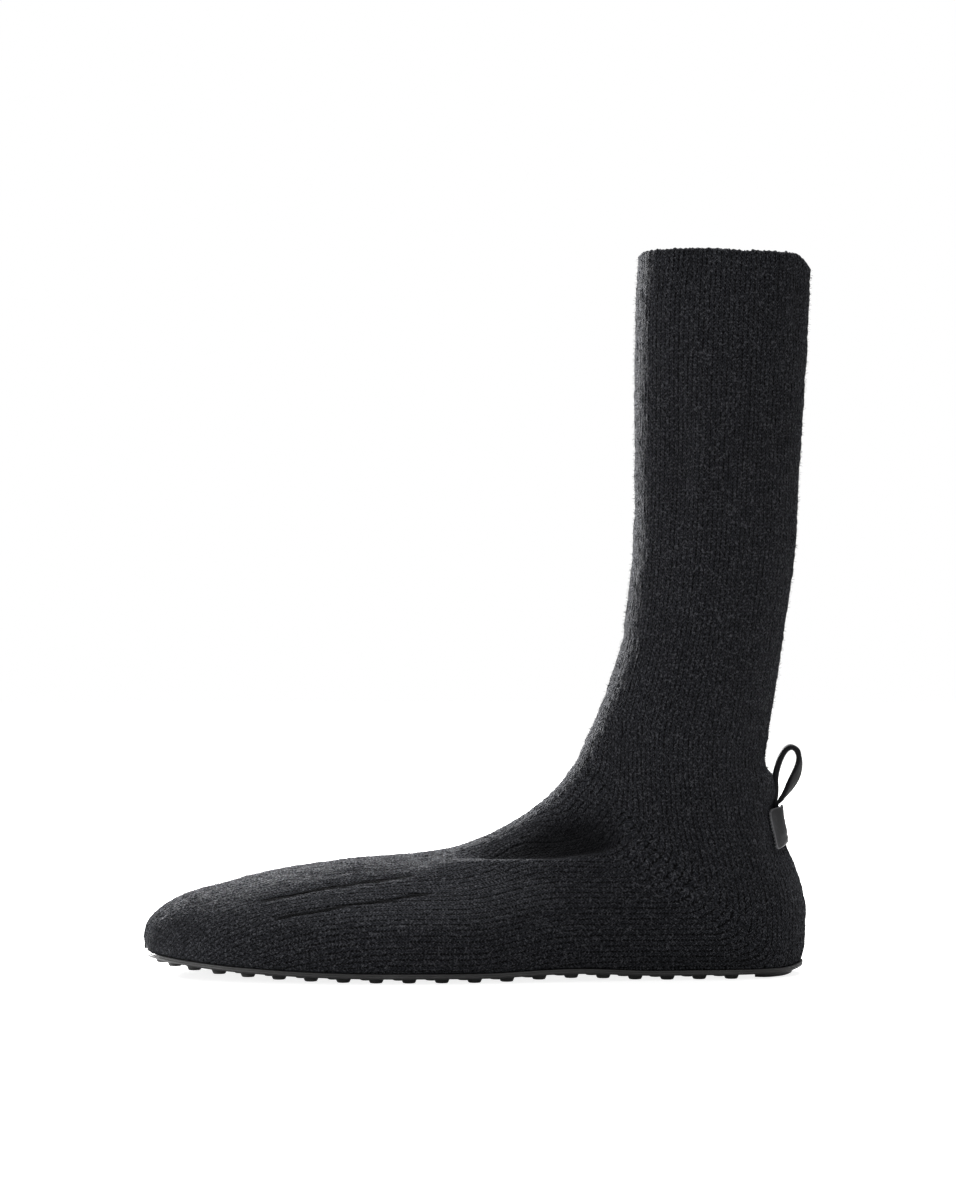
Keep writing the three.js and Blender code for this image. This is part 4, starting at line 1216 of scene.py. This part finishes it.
TAB_HALF_WIDTH, TAB_HALF_HEIGHT, TAB_HEIGHT = 11.6, 7.6, 57.4
TAB_MIDDLE_SHARE, TAB_TAPER = 1.06, 0.26
TAB_THICK, TAB_LIFT, TAB_LIFT_HALF_WIDTH = 1.0, 3.9, 4.0
TAB_MIDDLE = back_at_height(TAB_HEIGHT)
TAB_UP = back_at_height(TAB_HEIGHT + TAB_HALF_HEIGHT) - back_at_height(TAB_HEIGHT - TAB_HALF_HEIGHT)
TAB_UP /= np.linalg.norm(TAB_UP)
TAB_OUT = np.array((TAB_UP[2], 0.0, -TAB_UP[0]))
TAB_COLUMNS, TAB_ROWS_UP, TAB_CORNER = 28, 18, 1.1
# The tab's layers from its back to its face, as (inset from the edge, share of its thickness).
TAB_LAYERS = ((0.25, 0.0), (0.0, 0.22), (0.0, 0.75), (0.12, 0.92), (0.45, 1.0))
TAB_CREASE_UP, TAB_CREASE_DEPTH, TAB_CREASE_WIDTH = 3.1, 0.32, 0.5
TAB_BORDER_IN, TAB_BORDER_DEPTH, TAB_BORDER_WIDTH = 1.5, 0.22, 0.28
STRAP_WIDTH, STRAP_THICK, STRAP_TAIL_THICK = 6.5, 2.1, 0.9
STRAP_TAIL, STRAP_SEAT, STRAP_BETWEEN = 3.2, 1.1, 0.15

# The tab's stitches: how many to a side, how far the first lies from the tab's end, how far they lie beside it
# and off the knit, and how far and how high off it the direction of a stitch is taken.
TAB_STITCHES, STITCH_END_GAP, STITCH_BESIDE, STITCH_OFF = 11, 0.9, 0.1, 0.55
STITCH_REACH, STITCH_FAR_OFF, STITCH_OUTWARD = 0.8, 0.4, 1.2


def on_heel(up, across):
    """A point on the knit behind the heel: up along its back from the middle of the tab, and across."""
    up, across = np.broadcast_arrays(np.asarray(up, float), np.asarray(across, float))
    side = np.where(across < 0, -1, 1)

    def at(t):
        s = section(t)
        share = np.minimum(np.abs(across) / np.where(across < 0, s["outer"], s["inner"]), 1)
        return point_on(t, 1 - np.arcsin(share ** (s["base"] / 2)) / np.pi, side)

    return at(crossing(lambda t: up - (at(t) - TAB_MIDDLE) @ TAB_UP, *TAB_ROWS, up.shape))


def off_heel(up, across, off):
    """A point a distance off the knit behind the heel, square to it."""
    step = 0.2
    side = on_heel(up, across + step) - on_heel(up, across - step)
    rise = on_heel(up + step, across) - on_heel(up - step, across)
    normal = np.cross(side, rise)
    normal /= np.linalg.norm(normal, axis=-1, keepdims=True)
    return on_heel(up, across) + np.asarray(off)[..., None] * normal + SHIFT


def tab_half_width(up):
    """Half of the tab's width, measured over the knit: it widens downwards."""
    return TAB_HALF_WIDTH * (TAB_MIDDLE_SHARE - TAB_TAPER * up / TAB_HALF_HEIGHT)


def tab_lift(up, across):
    """How far the tab stands off the knit, over the ends of the strap."""
    high = np.clip((up + TAB_HALF_HEIGHT) / (2 * TAB_HALF_HEIGHT), 0, 1) ** 0.6
    wide = 1 - smooth(TAB_LIFT_HALF_WIDTH, tab_half_width(up), np.abs(across))
    return TAB_LIFT * high * wide


def make_tab(settings):
    """The tab: one piece of smooth leather with rounded corners, creased over its lower seam and edge."""
    b, a = np.meshgrid(np.linspace(-1, 1, TAB_ROWS_UP + 1), np.linspace(-1, 1, TAB_COLUMNS + 1), indexing="ij")
    rim = np.maximum(np.abs(a), np.abs(b)) > 0.999
    nets, points, edges = [], [], []
    for inset, off in TAB_LAYERS:
        half_up = TAB_HALF_HEIGHT - inset
        up = b * half_up
        past = np.maximum(np.abs(up) - (half_up - TAB_CORNER), 0) / TAB_CORNER
        rounding = TAB_CORNER * (1 - np.sqrt(np.maximum(1 - past * past, 0)))
        across = a * (tab_half_width(up) - inset - rounding)
        rise = TAB_THICK * off
        if off == 1:
            to_edge = np.minimum(tab_half_width(up) - np.abs(across), TAB_HALF_HEIGHT - np.abs(up))
            over_seam = up + TAB_HALF_HEIGHT - TAB_CREASE_UP - 0.05 * across
            rise = rise - TAB_CREASE_DEPTH * np.exp(-(over_seam / TAB_CREASE_WIDTH) ** 2)
            rise = rise - TAB_BORDER_DEPTH * np.exp(-((to_edge - TAB_BORDER_IN) / TAB_BORDER_WIDTH) ** 2)
        spots = off_heel(up, across, GAP * 0.4 + tab_lift(up, across) + rise)
        nets.append((len(points) + np.arange(up.size).reshape(up.shape)).tolist())
        points += list(spots.reshape(-1, 3))
        # The rim of the outer layers is marked for a painted highlight along the tab's edges.
        edges += list((rim * (inset < 0.4)).astype(float).ravel())

    def ring(index):
        """The outermost vertices of a net, in order."""
        right = [row[-1] for row in index[1:]]
        left = [row[0] for row in index[1:-1]][::-1]
        return [*index[0], *right, *index[-1][:-1][::-1], *left]

    faces = strips([ring(index) for index in nets], closed=True)
    faces += [face[::-1] for face in strips(nets[0])] + strips(nets[-1])
    mesh = mesh_from("heel_tab_leather", points, faces)
    mark_points(mesh, "Edge", edges)
    material = leather_material("tab_leather", settings.leather, 0.3, 1500.0, 0.26)
    tab = new_object("heel_tab_leather", cleaned(mesh), material)
    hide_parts("heel_tab")


# The loop's middle line in the plane of the boot, as (behind the middle of the heel, up).
LOOP = (
    (16.9, 71.2), (16.9, 76.8), (18.8, 83.7), (21.0, 87.2), (23.0, 88.1),
    (25.2, 86.8), (26.1, 83.0), (25.1, 78.2), (21.9, 71.9), (18.8, 67.4),
)


def smooth_line(points, count):
    """An even, centripetal curve through points."""
    points = np.asarray(points, float)
    ends = np.vstack((2 * points[0] - points[1], points, 2 * points[-1] - points[-2]))
    out = []
    for i in range(len(points) - 1):
        p = ends[i:i + 4]
        knots = np.concatenate(([0], np.cumsum(np.linalg.norm(np.diff(p, axis=0), axis=1) ** 0.5)))

        def between(first, a, last, b, t):
            return ((knots[last] - t) * a + (t - knots[first]) * b) / (knots[last] - knots[first])

        for t in np.linspace(knots[1], knots[2], 24, endpoint=False):
            a = [between(j, p[j], j + 1, p[j + 1], t) for j in range(3)]
            b = [between(j, a[j], j + 2, a[j + 1], t) for j in range(2)]
            out.append(between(1, b[0], 2, b[1], t))
    return evenly_along(np.array([*out, points[-1]]), count)


# The strap's section, as shares of half its width and half its thickness, and its places along its line.
STRAP_SECTION = (
    (-1.0, -0.35), (-0.93, -0.85), (-0.8, -1.0), (-0.66, -0.86), (-0.52, -1.0), (0.52, -1.0), (0.66, -0.86),
    (0.8, -1.0), (0.93, -0.85), (1.0, -0.35), (1.0, 0.35), (0.93, 0.85), (0.8, 1.0), (0.66, 0.86), (0.52, 1.0),
    (-0.52, 1.0), (-0.66, 0.86), (-0.8, 1.0), (-0.93, 0.85), (-1.0, 0.35),
)
STRAP_PLACES = 130
# Over which shares of its length the strap thickens from its tails, and over which it turns.
STRAP_THICKENS, STRAP_TURNS = (0.06, 0.12), (0.52, 0.94)


def make_loop(settings):
    """The pull loop: a flat leather strap with rounded edges and a line of stitches' groove along each side."""
    def tail(up, layer):
        off = STRAP_SEAT + layer * (STRAP_TAIL_THICK + STRAP_BETWEEN) + STRAP_TAIL_THICK / 2
        return on_heel(up, 0.0) + TAB_OUT * off

    ups = [TAB_HALF_HEIGHT - STRAP_TAIL, TAB_HALF_HEIGHT - STRAP_TAIL / 2, TAB_HALF_HEIGHT]
    middle = [(back, TAB_MIDDLE[1], up) for back, up in LOOP]
    course = [*(tail(u, 0) for u in ups), *middle, *(tail(u, 1) for u in ups[::-1])]
    line = smooth_line(course, STRAP_PLACES) + SHIFT
    tangents = np.gradient(line, axis=0)
    tangents /= np.linalg.norm(tangents, axis=1, keepdims=True)
    points, rows = [], []
    for share, p, tangent in zip(np.arange(len(line)) / (len(line) - 1), line, tangents):
        ends = float(smooth(*STRAP_THICKENS, min(share, 1 - share)))
        half = (STRAP_TAIL_THICK + (STRAP_THICK - STRAP_TAIL_THICK) * ends) / 2
        turned = settings.strap_twist * math.sin(math.pi * float(smooth(*STRAP_TURNS, share)))
        across = np.array((0.0, math.cos(turned), 0.0)) + math.sin(turned) * np.cross(tangent, (0.0, 1.0, 0.0))
        out = np.cross(across, tangent)
        rows.append([len(points) + i for i in range(len(STRAP_SECTION))])
        points += [p + across * u * STRAP_WIDTH / 2 + out * v * half for u, v in STRAP_SECTION]
    faces = strips(rows, closed=True) + [rows[0][::-1], rows[-1]]
    mesh = mesh_from("pull_loop_leather", points, faces)
    # The strap's corners are marked for a painted highlight along its edges.
    mark_points(mesh, "Edge", [0.45 * (abs(u) > 0.9 and abs(v) > 0.5) for u, v in STRAP_SECTION] * len(rows))
    material = leather_material("strap_leather", settings.strap, 0.6, 1300.0, 0.1)
    loop = new_object("pull_loop_leather", cleaned(mesh), material)
    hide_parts("pull_loop")


def stitch_mesh():
    """One short stitch: a rounded stretch of thread, a unit long along X, that dips at both ends."""
    steps, sides = 6, 6
    rows, points = [], []
    for share in np.arange(steps + 1) / steps:
        arch = math.sin(math.pi * share)
        rows.append([len(points) + k for k in range(sides)])
        points += [(share - 0.5, y, 0.12 * arch + z) for y, z in circle(0.115 * (0.55 + 0.45 * arch), sides)]
    return smoothed(plain_mesh("stitch", points, strips(rows, closed=True) + [rows[0][::-1], rows[-1]]))


def make_stitches(settings):
    """The rows of short stitches that hold the tab: one down each side of it, over the knit beside its edge."""
    side = np.repeat((-1, 1), TAB_STITCHES)
    shares = 2 * (np.arange(TAB_STITCHES) + 0.5) / TAB_STITCHES - 1
    up = np.tile(shares * (TAB_HALF_HEIGHT - STITCH_END_GAP), 2)
    across = side * (tab_half_width(up) + STITCH_BESIDE)
    here = off_heel(up, across, STITCH_OFF)
    ground = plain_mesh("stitch_places", here * MM)
    beside = off_heel(up, across + side * STITCH_REACH, STITCH_FAR_OFF)
    mark_directions(ground, "along", beside - here)
    mark_directions(ground, "outward", off_heel(up, across, STITCH_OUTWARD) - here)
    stitch = add_object("stitch", stitch_mesh())

    def build(g, given):
        def named(name):
            node = g.node("GeometryNodeInputNamedAttribute", {"Name": name}, data_type="FLOAT_VECTOR")
            return node.outputs[0]

        first = g.node("FunctionNodeAlignRotationToVector", {"Vector": named("outward")}, axis="Z").outputs[0]
        inputs = {"Rotation": first, "Vector": named("along")}
        second = g.node("FunctionNodeAlignRotationToVector", inputs, axis="X", pivot_axis="Z").outputs[0]
        return copies(g, given["Geometry"], given["Stitch"], Rotation=second, Scale=given["Length"])

    tree = instance_tree(
        "Tab stitches", {"Stitch": ("NodeSocketObject", None), "Length": ("NodeSocketFloat", 0.002)}, build)
    material = leather_material("waxed_thread", settings.thread, 0.5, 3000.0)
    values = {"Stitch": stitch, "Length": settings.stitch_length, "Material": material}
    grown("tab_stitches", ground, tree, values)
    bpy.data.objects.remove(stitch)


def number(name, description, default, **extra):
    """A setting that is a number."""
    return bpy.props.FloatProperty(name=name, description=description, default=default, **extra)


def whole(name, description, default):
    """A setting that is a whole number."""
    return bpy.props.IntProperty(name=name, description=description, default=default)


def colour(name, description, *default):
    """A setting that is a colour."""
    return bpy.props.FloatVectorProperty(
        name=name, description=description, default=(*default, 1), size=4, min=0, max=1, subtype="COLOR")


class KnitSettings(bpy.types.PropertyGroup):
    """Sizes and colours of the knit."""

    wales: whole("Wales", "Columns of stitches round the leg", 100)
    wale_width: number("Wale width", "Width of a wale on the foot, mm", 2.25)
    outer_columns: whole("Outer columns", "Fineness of the outer side", 30)
    inner_columns: whole("Inner columns", "Fineness of the inner side", 22)
    inside_stride: whole("Inside stride", "Outside to inside fineness", 5)
    row_step: number("Row step", "Largest distance between rows, in mm", 1.9)
    course: number("Course", "Height of one stitch, in mm", 1.4)
    wander: number("Wander", "How far the stitches stray from their rows, as a share of a stitch", 0.22)
    yarn: colour("Yarn", "Colour of the yarn", 0.0155, 0.0164, 0.0195)
    fleck: colour("Fleck", "Colour of the palest fibres", 0.115, 0.117, 0.13)
    fleck_share: number("Flecks", "Strength of the flecks", 0.85)
    # Relief is the strength of the painted shade in the gaps between the stitches.
    relief: number("Relief", "Darkness between the stitches", 1.0)
    sheen: number("Sheen", "Strength of the fibres' sheen", 0.03)
    lumps: number("Lumps", "Unevenness of the stitches, in mm", 0.13)
    fibre_scale: number("Fibre scale", "Fineness of the fibre texture", 1500)
    fibre_density: number("Fibre density", "Loose fibres on each square millimetre", 0.6)
    fibre_length: number("Fibre length", "Longest loose fibre", 0.0017, unit="LENGTH")
    fibre_width: number("Fibre width", "Width of a fibre as a share of its length", 0.09)


class SoleSettings(bpy.types.PropertyGroup):
    """Sizes and colours of the sole and the footbed."""

    stud_base: number("Stud base", "Radius of a stud at its root, mm", 3.1)
    stud_foot: number("Stud foot", "Radius of a stud at its end, mm", 2.2)
    stud_pitch: number("Stud pitch", "Distance between studs, mm", 12.5)
    stud_start: number("Stud start", "First stud as a share of the pitch", 0.62)
    stud_inset: number("Stud inset", "First ring from the edge, mm", 6.2)
    rings: whole("Rings", "Rings of studs", 4)
    ring_pitch: number("Ring pitch", "Distance between rings, mm", 10.9)
    studs_apart: number("Apart", "Least distance between studs, mm", 9.8)
    pad_front: number("Pad front", "Front of the heel pad, mm", 6.0)
    pad_inset: number("Pad inset", "Heel pad from the edge, mm", 4.2)
    pad_depth: number("Pad depth", "Width of the heel pad, mm", 9.5)
    rubber: colour("Rubber", "Colour of the sole", 0.042, 0.0415, 0.042)
    footbed: colour("Footbed", "Colour of the footbed", 0.02, 0.019, 0.019)


class LeatherSettings(bpy.types.PropertyGroup):
    """Sizes and colours of the tab, the loop and their stitches."""

    leather: colour("Tab", "Colour of the tab", 0.034, 0.034, 0.036)
    strap: colour("Strap", "Colour of the strap", 0.012, 0.012, 0.013)
    thread: colour("Thread", "Colour of the thread", 0.13, 0.13, 0.14)
    strap_twist: number("Strap twist", "Turn of the strap's outer leg", 0.5, subtype="ANGLE")
    stitch_length: number("Stitch length", "Length of one stitch", 0.0021, unit="LENGTH")


class StageSettings(bpy.types.PropertyGroup):
    """Camera and light."""

    distance: number("Distance", "Camera to the boot's middle", 1.5, unit="LENGTH")
    height: number("Height", "Camera over the floor", 0.1455, unit="LENGTH")
    view_height: number("View height", "What the picture's long side shows at the boot", 0.468, unit="LENGTH")
    key: number("Key", "Power of the light behind left", 155.0, unit="POWER")
    front: number("Front", "Power of the light in front", 7.0, unit="POWER")
    top: number("Top", "Power of the light overhead", 18.0, unit="POWER")
    fill: number("Fill", "Light from all round", 0.475)


class SOCKBOOT_OT_upper(bpy.types.Operator):
    """Make the knitted upper and its haze of loose fibres"""

    bl_idname = "sockboot.upper"
    bl_label = "Knitted Upper"

    def execute(self, context):
        settings = context.scene.sockboot_knit
        make_fuzz(settings, make_upper(settings))
        return {"FINISHED"}


class SOCKBOOT_OT_sole(bpy.types.Operator):
    """Make the rubber sole with its studs and heel pad"""

    bl_idname = "sockboot.sole"
    bl_label = "Studded Sole"

    def execute(self, context):
        make_outsole(context.scene.sockboot_sole)
        return {"FINISHED"}


class SOCKBOOT_OT_footbed(bpy.types.Operator):
    """Make the footbed inside the knit"""

    bl_idname = "sockboot.footbed"
    bl_label = "Footbed"

    def execute(self, context):
        make_insole(context.scene.sockboot_sole)
        return {"FINISHED"}


class SOCKBOOT_OT_heel(bpy.types.Operator):
    """Make the leather tab, the pull loop and the stitches behind the heel"""

    bl_idname = "sockboot.heel"
    bl_label = "Tab and Pull Loop"

    def execute(self, context):
        settings = context.scene.sockboot_leather
        make_tab(settings)
        make_loop(settings)
        make_stitches(settings)
        return {"FINISHED"}


# Each light's place, the place it points at, and its width and height, in metres.
LIGHTS = {
    "key": ((-0.85, 1.35, 0.6), (0.0, 0.0, 0.12), (0.35, 0.5)),
    "front": ((-1.4, -0.8, 0.35), (0.0, 0.0, 0.1), (0.5, 0.5)),
    "top": ((0.25, 0.38, 1.15), (-0.04, 0.0, 0.05), (0.4, 0.4)),
}
FLOOR_RADIUS, FLOOR_SIDES = 4.0, 64
SENSOR = 36.0


def area_light(name, power):
    """A soft light that points at a place."""
    place, aim, size = LIGHTS[name]
    light = bpy.data.lights.new(name, "AREA")
    light.shape = "RECTANGLE"
    light.size, light.size_y = size
    light.energy = power
    lamp = add_object(name, light)
    lamp.location = place
    lamp.rotation_euler = (Vector(aim) - Vector(place)).to_track_quat("-Z", "Y").to_euler()


def make_floor():
    """A wide, pale, plain floor."""
    edge = [(x, y, 0) for x, y in circle(FLOOR_RADIUS, FLOOR_SIDES)]
    mesh = plain_mesh("floor", edge, [list(range(FLOOR_SIDES))])
    material, g, shader, _ = new_material("pale_floor")
    seen = g.node("ShaderNodeLightPath").outputs["Is Camera Ray"]
    g.send(shader, Base_Color=(0.45, 0.45, 0.45, 1), Roughness=0.9, Emission_Color=(1, 1, 1, 1),
           Emission_Strength=g.ramp(seen, 0, 1, 0.05, 0.85))
    mesh.materials.append(material)
    floor = add_object("floor", mesh)


def make_world(scene, fill):
    """Soft light from all round, weaker from below, and white where the camera sees it."""
    world = bpy.data.worlds.new("studio")
    scene.world = world
    world.use_nodes = True
    world.node_tree.nodes.clear()
    g = Graph(world.node_tree)
    seen = g.node("ShaderNodeLightPath").outputs["Is Camera Ray"]
    direction = g.node("ShaderNodeSeparateXYZ", {0: g.node("ShaderNodeTexCoord").outputs["Generated"]})
    sky = g.ramp(direction.outputs[2], -0.3, 0.9, fill * 0.3, fill)
    strength = g.node("ShaderNodeMix", {0: seen, 2: sky, 3: 1.0}).outputs[0]
    back = g.node("ShaderNodeBackground", {"Color": (1, 1, 1, 1), "Strength": strength})
    g.node("ShaderNodeOutputWorld", {"Surface": back.outputs[0]})


def make_camera(scene, settings):
    """A level camera on the boot's outer side."""
    camera = bpy.data.cameras.new("camera")
    camera.sensor_width = SENSOR
    camera.lens = SENSOR * settings.distance / settings.view_height
    holder = add_object("camera", camera)
    holder.location = (0.0, -settings.distance, settings.height)
    holder.rotation_euler = (math.pi / 2, 0.0, 0.0)
    scene.camera = holder


class SOCKBOOT_OT_stage(bpy.types.Operator):
    """Make the floor, the light and the camera"""

    bl_idname = "sockboot.stage"
    bl_label = "Floor, Light and Camera"

    def execute(self, context):
        scene, settings = context.scene, context.scene.sockboot_stage
        scene.view_settings.view_transform = "Standard"
        scene.view_settings.look = "None"
        make_floor()
        make_world(scene, settings.fill)
        for name in LIGHTS:
            area_light(name, getattr(settings, name))
        make_camera(scene, settings)
        return {"FINISHED"}


OPERATORS = (
    SOCKBOOT_OT_stage, SOCKBOOT_OT_sole, SOCKBOOT_OT_footbed, SOCKBOOT_OT_heel, SOCKBOOT_OT_upper,
)
SETTINGS = {
    "sockboot_knit": KnitSettings, "sockboot_sole": SoleSettings,
    "sockboot_leather": LeatherSettings, "sockboot_stage": StageSettings,
}


class SOCKBOOT_PT_panel(bpy.types.Panel):
    """The boot's pieces and their settings"""

    bl_idname = "SOCKBOOT_PT_panel"
    bl_label = "Sock Boot"
    bl_space_type = "VIEW_3D"
    bl_region_type = "UI"
    bl_category = "Sock Boot"

    def draw(self, context):
        for operator in OPERATORS:
            self.layout.operator(operator.bl_idname)
        for name, group in SETTINGS.items():
            box = self.layout.box()
            for field in group.__annotations__:
                box.prop(getattr(context.scene, name), field)


def register():
    """Registers the classes and gives the scene its settings."""
    for cls in (*SETTINGS.values(), *OPERATORS, SOCKBOOT_PT_panel):
        bpy.utils.register_class(cls)
    for name, group in SETTINGS.items():
        setattr(bpy.types.Scene, name, bpy.props.PointerProperty(type=group))


def unregister():
    """Takes the settings and the classes away again."""
    for name in SETTINGS:
        delattr(bpy.types.Scene, name)
    for cls in reversed((*SETTINGS.values(), *OPERATORS, SOCKBOOT_PT_panel)):
        bpy.utils.unregister_class(cls)


def main():
    """Makes the stage and the whole boot."""
    register()
    bpy.ops.sockboot.stage()
    bpy.ops.sockboot.sole()
    bpy.ops.sockboot.footbed()
    bpy.ops.sockboot.heel()
    bpy.ops.sockboot.upper()


if __name__ == "__main__":
    main()
